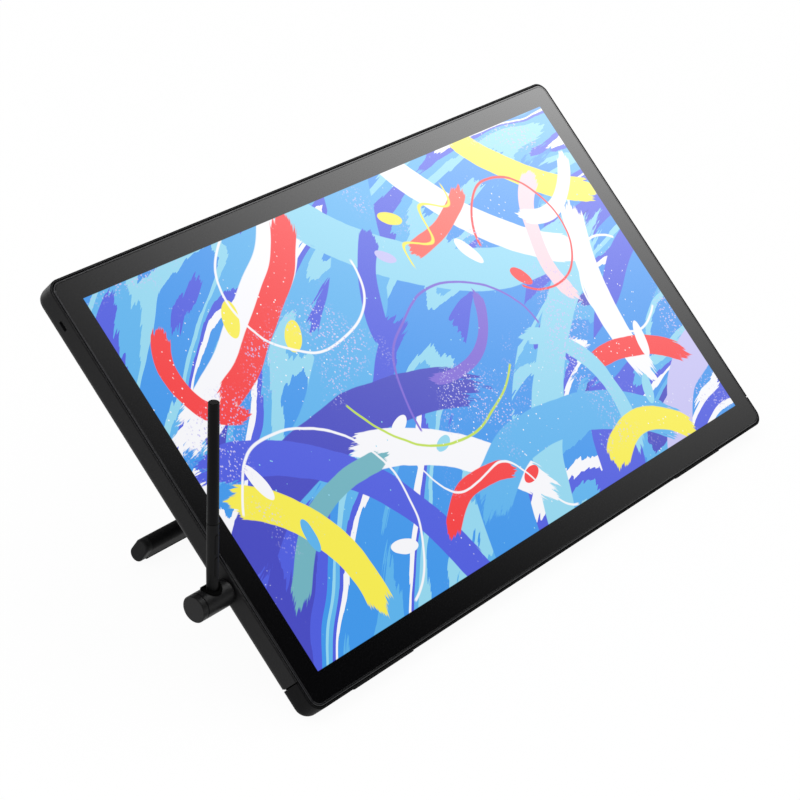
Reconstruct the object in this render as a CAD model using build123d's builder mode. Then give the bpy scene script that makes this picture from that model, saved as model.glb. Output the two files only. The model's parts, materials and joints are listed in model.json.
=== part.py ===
"""A graphics tablet with screen on its folding stand, with its pen in the side holder.

The slab leans back on the stand. Sizes on the slab are given in its own three directions:
x to the right, v up the slab from its middle, and w out of the glass, with w = 0 on the glass.
The origin lies on the table, at mid-width, under the middle of the stand's foot.
"""

from build123d import *
from math import asin, atan2, cos, degrees, hypot, radians, sin
import os

os.makedirs("parts", exist_ok=True)

# Screen and the border of glass and rim round it
screen_width = 526.85
screen_height = 296.35
border_side = 20.8
border_top = 19.75
border_bottom = 22.9

# Slab
slab_depth = 21.0
corner_radius = 10.0
back_edge_radius = 7.4
wall = 2.2
rail_height = 24.0
seam_gap = 0.9
seam_inset = 3.0
notch_width = 0.6
notch_reach = 7.0
seam_tongue_border = 2.9

# Rim round the glass
lip_thickness = 1.5
lip_drop = 0.4
lip_round = 0.6
groove_width = 0.7
groove_depth = 1.4
rim_width = 1.2
rim_drop = 0.1
rim_chamfer = 0.3
glass_gap = 0.12
panel_gap = 0.3
shelf_thickness = 1.2

# The stack behind the glass
glass_thickness = 2.0
glass_edge_chamfer = 0.3
panel_border = 6.0
panel_thickness = 1.3
diffuser_thickness = 0.6
guide_thickness = 2.0
light_strip_width = 4.0
tray_wall = 0.8
sensor_thickness = 0.8
shield_thickness = 1.0
shield_side_border = 12.0
shield_end_border = 6.0
layer_gap = 0.1

# Boards behind the shield
board_standoff = 3.0
board_gap = 1.0
board_thickness = 1.4
board_socket_gap = 3.8
main_board_height = 96.0
driver_board_width = 96.0
driver_board_height = 56.0
driver_board_from_side = 99.0
board_corner = 2.0
board_screw_head_radius = 2.8
board_screw_head_height = 1.4
board_screw_inset = 4.5
cable_width = 22.0
cable_thickness = 0.4

# Socket bay in the back and its sockets
bay_width = 100.0
bay_top = 112.0
bay_floor_height = 30.0
bay_ramp_height = 24.0
bay_depth = 10.4
bay_skin = 1.6
socket_gap = 0.3
socket_depth = 9.0
socket_skin = 0.5
video_socket_width = 15.0
video_socket_height = 5.4
data_socket_width = 9.0
data_socket_height = 3.4
data_socket_pitch = 12.6
power_socket_width = 9.4
power_socket_height = 5.4
power_bore_radius = 2.2
sound_socket_width = 7.0
sound_socket_height = 5.0
sound_bore_radius = 1.75
socket_pin_radius = 0.6

# Back cover: vents, screws and arm inserts
vent_count = 16
vent_pitch = 9.0
vent_length = 18.0
vent_width = 2.6
vent_from_top = 38.0
vent_from_side = 134.0
cover_screw_columns = 5
cover_screw_from_side = 24.0
cover_screw_from_top = 13.0
cover_screw_above_seam = 12.0
cover_screw_radius = 1.5
cover_screw_head_radius = 2.8
cover_screw_head_height = 1.2
screw_clearance = 0.1
boss_radius = 3.6
arm_pattern = 100.0
insert_radius = 3.0
insert_bore = 2.0
insert_length = 6.0
insert_boss_radius = 4.6
rail_screw_count = 6
rail_screw_from_side = 54.0

# Lock slot
lock_from_top = 30.0
lock_length = 7.5
lock_width = 3.2
lock_setback = 8.5
lock_plate_border = 3.0
lock_plate_thickness = 1.2

# Buttons on the top edge
button_from_side = 74.0
button_pitch = 18.0
button_length = 12.0
button_width = 4.0
button_setback = 11.0
button_clearance = 0.2
button_proud = 0.6
button_travel = 0.5
button_flange = 0.8
button_flange_border = 1.0
button_stem_radius = 1.2
button_stem_length = 2.4
button_board_thickness = 1.0

# Stand
leg_opening_angle = 79.8
hinge_height = 197.7
hinge_offset = 6.6
hinge_spread = 240.0
leg_length = 155.4
bar_length = 396.0
bar_width = 22.3
bar_thickness = 12.2
bar_wall = 1.8
bar_cap_thickness = 6.0
bar_cap_edge = 1.6
arm_width_top = 26.0
arm_width_foot = 22.0
arm_edge = 1.0
arm_rib = 3.6
arm_web = 4.0
tongue_length = 15.0
tongue_clearance = 0.1
arm_screw_radius = 2.0
arm_screw_head_radius = 3.6
arm_screw_head_height = 1.6
arm_screw_pitch = 11.0
strip_from_end = 8.5
strip_depth = 1.0
strip_proud = 0.9
strip_facet = 0.3
strip_arc_angle = 120.0

# Hinge
bracket_width = 50.0
bracket_height = 42.0
bracket_gap = 7.5
bracket_thickness = 4.0
bracket_corner = 5.0
ear_thickness = 5.0
ear_radius = 6.3
ear_foot = 20.0
washer_thickness = 1.0
washer_clearance = 0.1
washer_radius = 5.6
pin_radius = 3.0
pin_clearance = 0.05
pin_head_radius = 4.6
pin_head_height = 1.6
bracket_screw_radius = 2.0
bracket_screw_head_radius = 3.6
bracket_screw_head_height = 2.0
bracket_screw_length = 11.0
bracket_screw_inset = 6.5

# Rubber feet of the bottom rail
foot_length = 64.0
foot_from_side = 84.0
foot_depth = 1.0
foot_proud = 0.9
foot_facet = 0.3
foot_arc_angle = 74.0
foot_middle_angle = 225.0

# Pen holder
holder_height = 100.4
holder_setback = 10.7
holder_radius = 9.6
holder_reach = 32.0
holder_turn_angle = 43.2
holder_root_gap = 0.3
holder_root_fillet = 3.0
holder_cap_length = 4.6
holder_cap_chamfer = 0.5
holder_groove_width = 0.7
holder_groove_depth = 0.6
pen_hole_radius = 5.4
pen_hole_from_side = 15.0
pen_hole_lip = 0.4
liner_thickness = 2.0
liner_proud = 1.0
liner_floor = 5.0
pen_tip_bore = 3.6
pen_floor = 1.8
bush_radius = 4.9
bush_flange_radius = 5.5
bush_flange_thickness = 1.2
spindle_radius = 4.0
spindle_clearance = 0.05
spindle_in_holder = 6.0
clip_radius = 5.2
clip_thickness = 1.0
clip_gap = 0.3

# Pen
pen_shift = 1.0
pen_length = 154.4
pen_grip_radius = 4.15
pen_grip_length = 66.0
pen_tail_radius = 3.8
pen_tail_length = 5.0
pen_nose_radius = 1.7
pen_nose_length = 15.0
pen_nib_radius = 0.8
pen_nib_length = 26.0
pen_nib_reach = 1.8
pen_nib_clearance = 0.15
pen_nib_travel = 0.3
pen_shell = 1.3
pen_joint_overlap = 5.0
pen_seam = 0.2
pen_coil_radius = 2.4
pen_coil_length = 9.0
pen_board_width = 4.6
pen_board_thickness = 0.8
pen_button_length = 15.5
pen_button_width = 3.6
pen_button_pitch = 17.0
pen_button_from_nib = 42.5
pen_button_proud = 0.45
pen_button_clearance = 0.15
pen_button_flange = 0.7

# One length that carries a cut past a surface
overrun = 1.0

# Shares of a length
tongue_share = 0.62
lock_corner_share = 0.25
nib_tip_share = 0.75
flange_share = 0.6
low_rib_share = 0.36
high_rib_share = 0.64

# Places on the slab that follow from the sizes
slab_width = screen_width + 2 * border_side
slab_height = screen_height + border_top + border_bottom
screen_raise = (border_bottom - border_top) / 2
glass_inset = lip_thickness + groove_width + rim_width + glass_gap
seam_v = rail_height - slab_height / 2
back_w = -slab_depth
inner_back_w = wall - slab_depth
hinge_v = hinge_height - slab_height / 2
hinge_w = back_w - hinge_offset
rail_arc_v = back_edge_radius - slab_height / 2
rail_arc_w = back_edge_radius - slab_depth
foot_arc_reach = leg_length + bar_width / 2 - bar_thickness / 2

# The tilt follows from the two feet: the table touches both arcs from below
foot_arc_v = hinge_v - foot_arc_reach * cos(radians(leg_opening_angle))
foot_arc_w = hinge_w - foot_arc_reach * sin(radians(leg_opening_angle))
rail_drop = back_edge_radius + foot_proud - foot_facet
foot_drop = bar_thickness / 2 + strip_proud - strip_facet
feet_apart = hypot(foot_arc_v - rail_arc_v, foot_arc_w - rail_arc_w)
feet_slope = atan2(rail_arc_w - foot_arc_w, foot_arc_v - rail_arc_v)
tilt = feet_slope + asin((foot_drop - rail_drop) / feet_apart)
up_y = cos(tilt)
up_z = sin(tilt)
slab_y = foot_arc_w * up_z - foot_arc_v * up_y
slab_z = rail_drop - rail_arc_v * up_z - rail_arc_w * up_y
slab = Plane(origin=(0, slab_y, slab_z), x_dir=(1, 0, 0), z_dir=(0, -up_z, up_y))
up_slab = slab.y_dir
out_of_glass = slab.z_dir
print("slab leans at", round(degrees(tilt), 2), "degrees")

# The stack behind the glass, from front to back
panel_w = -glass_thickness
diffuser_w = panel_w - panel_thickness - layer_gap
guide_w = diffuser_w - diffuser_thickness
tray_w = guide_w - guide_thickness
sensor_w = tray_w - tray_wall - layer_gap
shield_w = sensor_w - sensor_thickness - layer_gap
board_w = shield_w - shield_thickness - board_standoff
board_back_w = board_w - board_thickness
panel_width = screen_width + 2 * panel_border
panel_height = screen_height + 2 * panel_border


def slab_point(x, v, w):
    """A place on the slab, in the part's own frame."""
    return slab.from_local_coords((x, v, w))


def flat_at(w, x=0, v=0):
    """A plane parallel to the glass."""
    return Plane(origin=slab_point(x, v, w), x_dir=slab.x_dir, z_dir=slab.z_dir)


def back_at(x=0, v=0, w=back_w):
    """A plane that faces out of the back."""
    return Plane(origin=slab_point(x, v, w), x_dir=slab.x_dir, z_dir=-slab.z_dir)


def side_at(x=0, v=0, w=0):
    """An upright plane across the slab, whose own directions are v and w."""
    return Plane(origin=slab_point(x, v, w), x_dir=slab.y_dir, z_dir=slab.x_dir)


def edge_at(x, v, w):
    """A plane that faces up the slab, whose own directions are x and the way to the back."""
    return Plane(origin=slab_point(x, v, w), x_dir=slab.x_dir, z_dir=slab.y_dir)


def plate(width, height, corner, v, w, thickness):
    """A plate parallel to the glass with its front at w."""
    with BuildPart() as made:
        with BuildSketch(flat_at(w, v=v)):
            RectangleRounded(width, height, corner)
        extrude(amount=-thickness)
    return made.part


def ring_band(plane, centre, inner, outer, middle_angle, span):
    """A band between two arcs about one centre, as a sketch."""
    start = middle_angle - span / 2
    with BuildSketch(plane) as made:
        with BuildLine():
            far = CenterArc(centre, outer, start, span)
            near = CenterArc(centre, inner, start, span)
            Line(far @ 0, near @ 0)
            Line(far @ 1, near @ 1)
        make_face()
    return made.sketch


def screw_shape(plane, radius, head_radius, head_height, length):
    """A screw whose head's outer face lies in the plane and whose shaft runs behind it."""
    with BuildPart() as made:
        with BuildSketch(plane):
            Circle(head_radius)
        extrude(amount=-head_height)
        with BuildSketch(plane):
            Circle(radius)
        extrude(amount=-length)
        with BuildSketch(plane):
            RegularPolygon(radius, 6)
        extrude(amount=-head_height / 2, mode=Mode.SUBTRACT)
    return made.part


# Cover glass
with BuildPart() as cover_glass:
    with BuildSketch(flat_at(0)):
        RectangleRounded(
            slab_width - 2 * glass_inset, slab_height - 2 * glass_inset, corner_radius - glass_inset
        )
    extrude(amount=-glass_thickness)
    front = cover_glass.faces().sort_by(Axis(slab.origin, slab.z_dir))[-1]
    chamfer(front.edges(), glass_edge_chamfer)
cover_glass.part.label = "cover_glass"
export_step(cover_glass.part, "parts/cover_glass.step")

# Front frame: the rim round the glass and the shelf that carries the stack
rim_inset = lip_thickness + groove_width
seat_inset = lip_thickness + layer_gap
rim_inner = rim_inset + rim_width
shelf_w = -glass_thickness - layer_gap
with BuildPart() as front_frame:
    with BuildSketch(flat_at(-rim_drop)):
        RectangleRounded(slab_width - 2 * rim_inset, slab_height - 2 * rim_inset, corner_radius - rim_inset)
    extrude(amount=rim_drop - groove_depth - layer_gap)
    top = front_frame.faces().sort_by(Axis(slab.origin, slab.z_dir))[-1]
    chamfer(top.edges(), rim_chamfer)
    with BuildSketch(flat_at(-groove_depth)):
        RectangleRounded(
            slab_width - 2 * seat_inset, slab_height - 2 * seat_inset, corner_radius - seat_inset
        )
    extrude(amount=groove_depth + shelf_w - shelf_thickness)
    with BuildSketch(flat_at(0)):
        RectangleRounded(
            slab_width - 2 * rim_inner, slab_height - 2 * rim_inner, corner_radius - rim_inner
        )
    extrude(amount=shelf_w, mode=Mode.SUBTRACT)
    with BuildSketch(flat_at(0, v=screen_raise)):
        Rectangle(panel_width + 2 * panel_gap, panel_height + 2 * panel_gap)
    extrude(amount=-slab_depth, mode=Mode.SUBTRACT)
front_frame.part.label = "front_frame"
export_step(front_frame.part, "parts/front_frame.step")

# Liquid crystal panel, diffuser, light guide and light strip
lcd_panel = plate(panel_width, panel_height, board_corner, screen_raise, panel_w, panel_thickness)
lcd_panel.label = "lcd_panel"
export_step(lcd_panel, "parts/lcd_panel.step")
sheet_width = panel_width - 2 * tray_wall - 2 * layer_gap
sheet_height = panel_height - 2 * tray_wall - 2 * layer_gap
diffuser_sheet = plate(
    sheet_width, sheet_height, board_corner, screen_raise, diffuser_w, diffuser_thickness
)
diffuser_sheet.label = "diffuser_sheet"
export_step(diffuser_sheet, "parts/diffuser_sheet.step")
guide_height = sheet_height - light_strip_width
guide_v = screen_raise + light_strip_width / 2
light_guide = plate(sheet_width, guide_height, board_corner, guide_v, guide_w, guide_thickness)
light_guide.label = "light_guide"
export_step(light_guide, "parts/light_guide.step")
light_strip_v = screen_raise - sheet_height / 2 + light_strip_width / 2
with BuildPart() as light_strip:
    with BuildSketch(flat_at(guide_w, v=light_strip_v)):
        Rectangle(sheet_width - 2 * board_corner, light_strip_width - 2 * layer_gap)
    extrude(amount=-guide_thickness)
light_strip.part.label = "light_strip"
export_step(light_strip.part, "parts/light_strip.step")

# Backlight tray: a shallow pan that holds the sheets
with BuildPart() as backlight_tray:
    with BuildSketch(flat_at(diffuser_w, v=screen_raise)):
        RectangleRounded(panel_width, panel_height, board_corner)
    extrude(amount=tray_w - tray_wall - diffuser_w)
    with BuildSketch(flat_at(diffuser_w, v=screen_raise)):
        Rectangle(panel_width - 2 * tray_wall, panel_height - 2 * tray_wall)
    extrude(amount=tray_w - diffuser_w, mode=Mode.SUBTRACT)
backlight_tray.part.label = "backlight_tray"
export_step(backlight_tray.part, "parts/backlight_tray.step")

# Sensing board and shield plate, both wider than the panel
sensor_board = plate(panel_width, panel_height, board_corner, screen_raise, sensor_w, sensor_thickness)
sensor_board.label = "sensor_board"
export_step(sensor_board, "parts/sensor_board.step")

# Case: a rounded block less its hollow, which the back cover and the bottom rail are cut from
with BuildPart() as hollow:
    with BuildSketch(flat_at(0)):
        RectangleRounded(slab_width - 2 * wall, slab_height - 2 * wall, corner_radius - wall)
    extrude(amount=inner_back_w)
    rear = hollow.faces().sort_by(Axis(slab.origin, slab.z_dir))[0]
    fillet(rear.edges(), back_edge_radius - wall)
with BuildPart() as block:
    with BuildSketch(flat_at(-lip_drop)):
        RectangleRounded(slab_width, slab_height, corner_radius)
    extrude(amount=lip_drop - slab_depth)
    rear = block.faces().sort_by(Axis(slab.origin, slab.z_dir))[0]
    fillet(rear.edges(), back_edge_radius)
    lip = block.faces().sort_by(Axis(slab.origin, slab.z_dir))[-1]
    fillet(lip.edges(), lip_round)
with BuildPart() as case:
    add(block.part)
    add(hollow.part, mode=Mode.SUBTRACT)
    with BuildSketch(flat_at(0)):
        RectangleRounded(
            slab_width - 2 * lip_thickness, slab_height - 2 * lip_thickness, corner_radius - lip_thickness
        )
    extrude(amount=shelf_w - shelf_thickness - layer_gap, mode=Mode.SUBTRACT)

# Places that the back cover, its screws and the boards share
cover_middle_v = (slab_height / 2 - cover_screw_from_top + seam_v + cover_screw_above_seam) / 2
cover_screw_rows = slab_height / 2 - cover_screw_from_top - seam_v - cover_screw_above_seam
cover_screw_column_pitch = (slab_width - 2 * cover_screw_from_side) / (cover_screw_columns - 1)
rail_screw_pitch = (slab_width - 2 * rail_screw_from_side) / (rail_screw_count - 1)
vent_spread = slab_width - 2 * vent_from_side
foot_spread = slab_width - 2 * foot_from_side
strip_length = bar_length - 2 * strip_from_end
driver_board_x = slab_width / 2 - driver_board_from_side
shield_back_w = shield_w - shield_thickness
bay_top_v = bay_top - slab_height / 2
bay_floor_w = back_w + bay_depth
vent_v = slab_height / 2 - vent_from_top
half_spread = hinge_spread / 2
ear_gap = arm_width_top + 2 * washer_thickness + 4 * washer_clearance
bracket_low_v = hinge_v + bracket_gap
bracket_mid_v = bracket_low_v + bracket_height / 2
bracket_screw_x = bracket_width - 2 * bracket_screw_inset
bracket_screw_v = bracket_height - 2 * bracket_screw_inset
lock_v = slab_height / 2 - lock_from_top
button_x = slab_width / 2 - button_from_side
socket_w = board_back_w - video_socket_height / 2
data_socket_w = board_back_w - data_socket_height / 2
power_socket_w = board_back_w - power_socket_height / 2
sound_socket_w = board_back_w - sound_socket_height / 2
video_x = 0
data_x = video_x + video_socket_width / 2 + data_socket_pitch / 2
power_x = video_x - video_socket_width / 2 - data_socket_pitch / 2
sound_x = power_x - data_socket_pitch / 2 - sound_socket_width / 2
socket_reach = socket_depth + bay_skin
socket_row_end = data_x + data_socket_pitch + data_socket_width / 2
main_board_width = 2 * (socket_row_end + board_socket_gap + board_screw_head_radius + board_screw_inset)
main_board_low_v = bay_top_v + bay_skin + board_gap
main_board_v = main_board_low_v + main_board_height / 2
main_screw_pitch_x = main_board_width - 2 * board_screw_inset
main_screw_pitch_v = main_board_height - 2 * board_screw_inset
driver_screw_pitch_x = driver_board_width - 2 * board_screw_inset
driver_screw_pitch_v = driver_board_height - 2 * board_screw_inset
rail_screw_v = seam_v - rail_height / 2
shield_width = slab_width - 2 * shield_side_border
shield_height = slab_height - 2 * shield_end_border
left_x = -slab_width / 2
holder_v = holder_height - slab_height / 2
button_group_x = button_x - button_pitch
boss_height = shield_back_w - layer_gap - inner_back_w


def mouth_at(x, w):
    """A plane at the sockets' mouths that faces down the slab, whose own directions are x and w."""
    origin = slab_point(x, bay_top_v + socket_gap, w)
    return Plane(origin=origin, x_dir=slab.x_dir, z_dir=-slab.y_dir)


def left_at(v, w, x=left_x):
    """A plane that faces out of the left side."""
    return Plane(origin=slab_point(x, v, w), x_dir=slab.y_dir, z_dir=-slab.x_dir)


# Shield plate with the standoffs of the two boards
cable_slot_v = main_board_v + main_board_height
with BuildPart() as shield_plate:
    with BuildSketch(flat_at(shield_w)):
        RectangleRounded(shield_width, shield_height, corner_radius)
    extrude(amount=-shield_thickness)
    with BuildSketch(flat_at(shield_back_w)):
        with Locations((0, main_board_v)):
            with GridLocations(main_screw_pitch_x, main_screw_pitch_v, 2, 2):
                Circle(board_screw_head_radius)
        with Locations((driver_board_x, 0)):
            with GridLocations(driver_screw_pitch_x, driver_screw_pitch_v, 2, 2):
                Circle(board_screw_head_radius)
    extrude(amount=-board_standoff)
    with BuildSketch(flat_at(shield_w)):
        with Locations((0, cable_slot_v)):
            Rectangle(cable_width + 2 * board_gap, board_screw_inset)
    extrude(amount=-shield_thickness, mode=Mode.SUBTRACT)
shield_plate.part.label = "shield_plate"
export_step(shield_plate.part, "parts/shield_plate.step")

# Boards, their screws and their flat cables
main_board = plate(
    main_board_width, main_board_height, board_corner, main_board_v, board_w, board_thickness
)
main_board.label = "main_board"
export_step(main_board, "parts/main_board.step")
with BuildPart() as driver_board:
    with BuildSketch(flat_at(board_w, x=driver_board_x)):
        RectangleRounded(driver_board_width, driver_board_height, board_corner)
    extrude(amount=-board_thickness)
driver_board.part.label = "driver_board"
export_step(driver_board.part, "parts/driver_board.step")
board_screw_places = [
    Location(slab_point(x + along, v + up, board_back_w))
    for x, v, pitch_x, pitch_v in (
        (0, main_board_v, main_screw_pitch_x, main_screw_pitch_v),
        (driver_board_x, 0, driver_screw_pitch_x, driver_screw_pitch_v),
    )
    for along in (-pitch_x / 2, pitch_x / 2)
    for up in (-pitch_v / 2, pitch_v / 2)
]
with BuildPart() as board_screws:
    for place in board_screw_places:
        with BuildSketch(Plane(origin=place.position, x_dir=slab.x_dir, z_dir=-slab.z_dir)):
            Circle(board_screw_head_radius)
        extrude(amount=board_screw_head_height)
board_screws.part.label = "board_screws"
export_step(board_screws.part, "parts/board_screws.step")
cable_low_v = main_board_v + main_board_height / 2 - board_screw_inset
cable_step_v = main_board_v + main_board_height / 2 + board_screw_inset
cable_high_w = board_back_w - cable_thickness / 2 - layer_gap
cable_low_w = shield_back_w - cable_thickness / 2 - layer_gap
cable_end_w = sensor_w - sensor_thickness - cable_thickness / 2 - layer_gap
with BuildPart() as display_cable:
    with BuildSketch(side_at()):
        with BuildLine():
            route = Polyline(
                (cable_low_v, cable_high_w),
                (cable_low_v + board_screw_inset, cable_high_w),
                (cable_step_v, cable_low_w),
                (cable_slot_v, cable_low_w),
                (cable_slot_v, cable_end_w),
            )
            offset(route, amount=cable_thickness / 2, side=Side.BOTH)
        make_face()
    extrude(amount=cable_width / 2, both=True)
display_cable.part.label = "display_cable"
export_step(display_cable.part, "parts/display_cable.step")
driver_edge_x = driver_board_x - driver_board_width / 2
light_cable_low_x = main_board_width / 2 - board_screw_inset
light_cable_length = driver_edge_x + board_screw_inset - light_cable_low_x
with BuildPart() as light_cable:
    with BuildSketch(flat_at(board_back_w, x=light_cable_low_x + light_cable_length / 2)):
        Rectangle(light_cable_length, cable_width / 2)
    extrude(amount=-cable_thickness)
light_cable.part.label = "light_cable"
export_step(light_cable.part, "parts/light_cable.step")


def socket(x, w, width, height, corner, tongue):
    """A socket's metal shell, open downwards, with the tongue that the plug goes over."""
    inner_height = height - 2 * socket_skin
    with BuildPart() as made:
        with BuildSketch(mouth_at(x, w)):
            RectangleRounded(width, height, corner)
        extrude(amount=-socket_reach)
        with BuildSketch(mouth_at(x, w)):
            RectangleRounded(width - 2 * socket_skin, inner_height, corner * inner_height / height)
        extrude(amount=-socket_depth, mode=Mode.SUBTRACT)
        with BuildSketch(mouth_at(x, w).offset(-socket_skin)):
            Rectangle(width * tongue, 2 * socket_skin)
        extrude(amount=-socket_depth)
    return made.part


def round_socket(x, w, width, height, bore):
    """A moulded socket with a round bore."""
    with BuildPart() as made:
        with BuildSketch(mouth_at(x, w)):
            RectangleRounded(width, height, socket_skin)
        extrude(amount=-socket_reach)
        with BuildSketch(mouth_at(x, w)):
            Circle(bore)
        extrude(amount=-socket_depth, mode=Mode.SUBTRACT)
    return made.part


# Sockets on the main board, with their mouths in the bay's upper wall
video_socket = socket(
    video_x, socket_w, video_socket_width, video_socket_height, board_corner / 2, tongue_share
)
video_socket.label = "video_socket"
export_step(video_socket, "parts/video_socket.step")
with BuildPart() as data_sockets:
    for number in (0, 1):
        place_x = data_x + number * data_socket_pitch
        add(
            socket(
                place_x,
                data_socket_w,
                data_socket_width,
                data_socket_height,
                data_socket_height / 2 - layer_gap,
                tongue_share,
            )
        )
data_sockets.part.label = "data_sockets"
export_step(data_sockets.part, "parts/data_sockets.step")
with BuildPart() as power_socket:
    add(round_socket(power_x, power_socket_w, power_socket_width, power_socket_height, power_bore_radius))
    with BuildSketch(mouth_at(power_x, power_socket_w).offset(-socket_skin)):
        Circle(socket_pin_radius)
    extrude(amount=-socket_depth)
power_socket.part.label = "power_socket"
export_step(power_socket.part, "parts/power_socket.step")
sound_socket = round_socket(
    sound_x, sound_socket_w, sound_socket_width, sound_socket_height, sound_bore_radius
)
sound_socket.label = "sound_socket"
export_step(sound_socket, "parts/sound_socket.step")

# Rear cover
with BuildPart() as rear_cover:
    add(case.part)
    with BuildSketch(edge_at(0, seam_v + seam_gap / 2, (shield_back_w + inner_back_w) / 2)):
        Rectangle(slab_width - wall, shield_back_w - inner_back_w - 2 * layer_gap)
    extrude(amount=wall)
    add(block.part, mode=Mode.INTERSECT)
    upper_side = Plane(
        origin=slab_point(0, seam_v + seam_gap / 2, 0), x_dir=slab.x_dir, z_dir=slab.y_dir
    )
    split(bisect_by=upper_side, keep=Keep.TOP)
    for side in (-1, 1):
        with BuildSketch(edge_at(0, seam_v + seam_gap / 2, 0)):
            with BuildLine():
                Polyline(
                    (side * (slab_width / 2 + overrun), slab_depth + overrun),
                    (side * (slab_width / 2 + overrun), slab_depth - notch_reach),
                    (side * (slab_width / 2 - notch_reach), slab_depth + overrun),
                    close=True,
                )
            make_face()
        extrude(amount=notch_width, mode=Mode.SUBTRACT)
    # The bay's inner skin, then the bay itself
    bay_low_v = bay_top_v - bay_floor_height
    with BuildSketch(side_at()):
        with BuildLine():
            Polyline(
                (bay_top_v + bay_skin, inner_back_w),
                (bay_top_v + bay_skin, bay_floor_w + bay_skin),
                (bay_low_v, bay_floor_w + bay_skin),
                (bay_low_v - bay_ramp_height, inner_back_w),
                close=True,
            )
        make_face()
    extrude(amount=bay_width / 2 + bay_skin, both=True)
    # Bosses for the cover screws, the bracket screws and the arm inserts
    with BuildSketch(flat_at(inner_back_w)):
        with Locations((0, cover_middle_v)):
            with GridLocations(cover_screw_column_pitch, cover_screw_rows, cover_screw_columns, 2):
                Circle(boss_radius)
    extrude(amount=boss_height)
    with BuildSketch(flat_at(inner_back_w)):
        with Locations((-half_spread, bracket_mid_v), (half_spread, bracket_mid_v)):
            with GridLocations(bracket_screw_x, bracket_screw_v, 2, 2):
                Circle(boss_radius)
    extrude(amount=bracket_screw_length - bracket_thickness)
    with BuildSketch(flat_at(inner_back_w)):
        with GridLocations(arm_pattern, arm_pattern, 2, 2):
            Circle(insert_boss_radius)
    extrude(amount=insert_length)
    with BuildSketch(side_at()):
        with BuildLine():
            Polyline(
                (bay_top_v, back_w - overrun),
                (bay_top_v, bay_floor_w),
                (bay_low_v, bay_floor_w),
                (bay_low_v - bay_ramp_height, back_w),
                (bay_low_v - bay_ramp_height, back_w - overrun),
                close=True,
            )
        make_face()
    extrude(amount=bay_width / 2, both=True, mode=Mode.SUBTRACT)
    # Windows for the sockets
    clear = 2 * layer_gap
    with BuildSketch(mouth_at(0, 0).offset(overrun)):
        with Locations((video_x, socket_w)):
            Rectangle(video_socket_width + clear, video_socket_height + clear)
        with Locations((data_x, data_socket_w), (data_x + data_socket_pitch, data_socket_w)):
            Rectangle(data_socket_width + clear, data_socket_height + clear)
        with Locations((power_x, power_socket_w)):
            Rectangle(power_socket_width + clear, power_socket_height + clear)
        with Locations((sound_x, sound_socket_w)):
            Rectangle(sound_socket_width + clear, sound_socket_height + clear)
    extrude(amount=-bay_skin - 2 * overrun, mode=Mode.SUBTRACT)
    # Holes in the back
    with Locations(back_at(v=cover_middle_v)):
        with GridLocations(cover_screw_column_pitch, cover_screw_rows, cover_screw_columns, 2):
            CounterBoreHole(
                cover_screw_radius + screw_clearance,
                cover_screw_head_radius + screw_clearance,
                cover_screw_head_height,
                wall + boss_height,
            )
    for place_x in (-half_spread, half_spread):
        with Locations(back_at(x=place_x, v=bracket_mid_v)):
            with GridLocations(bracket_screw_x, bracket_screw_v, 2, 2):
                Hole(bracket_screw_radius + screw_clearance, bracket_screw_length - bracket_thickness)
    with Locations(back_at()):
        with GridLocations(arm_pattern, arm_pattern, 2, 2):
            Hole(insert_radius + pin_clearance, insert_length)
    with BuildSketch(back_at(v=vent_v)):
        with GridLocations(vent_spread, vent_length, 2, 1):
            with GridLocations(vent_pitch, vent_length, vent_count, 1):
                SlotOverall(vent_length, vent_width, rotation=90)
    extrude(amount=-wall, mode=Mode.SUBTRACT)
    # Openings in the sides: lock slot, holder bush, buttons
    with BuildSketch(left_at(lock_v, -lock_setback)):
        RectangleRounded(lock_length, lock_width, lock_width * lock_corner_share)
    extrude(amount=-wall, mode=Mode.SUBTRACT)
    with BuildSketch(left_at(holder_v, -holder_setback)):
        Circle(bush_radius)
    extrude(amount=-wall - overrun, mode=Mode.SUBTRACT)
    with BuildSketch(edge_at(button_group_x, slab_height / 2, -button_setback)):
        with GridLocations(button_pitch, button_width, 3, 1):
            SlotOverall(button_length, button_width)
    extrude(amount=-wall, mode=Mode.SUBTRACT)
rear_cover.part.label = "rear_cover"
export_step(rear_cover.part, "parts/rear_cover.step")

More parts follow.
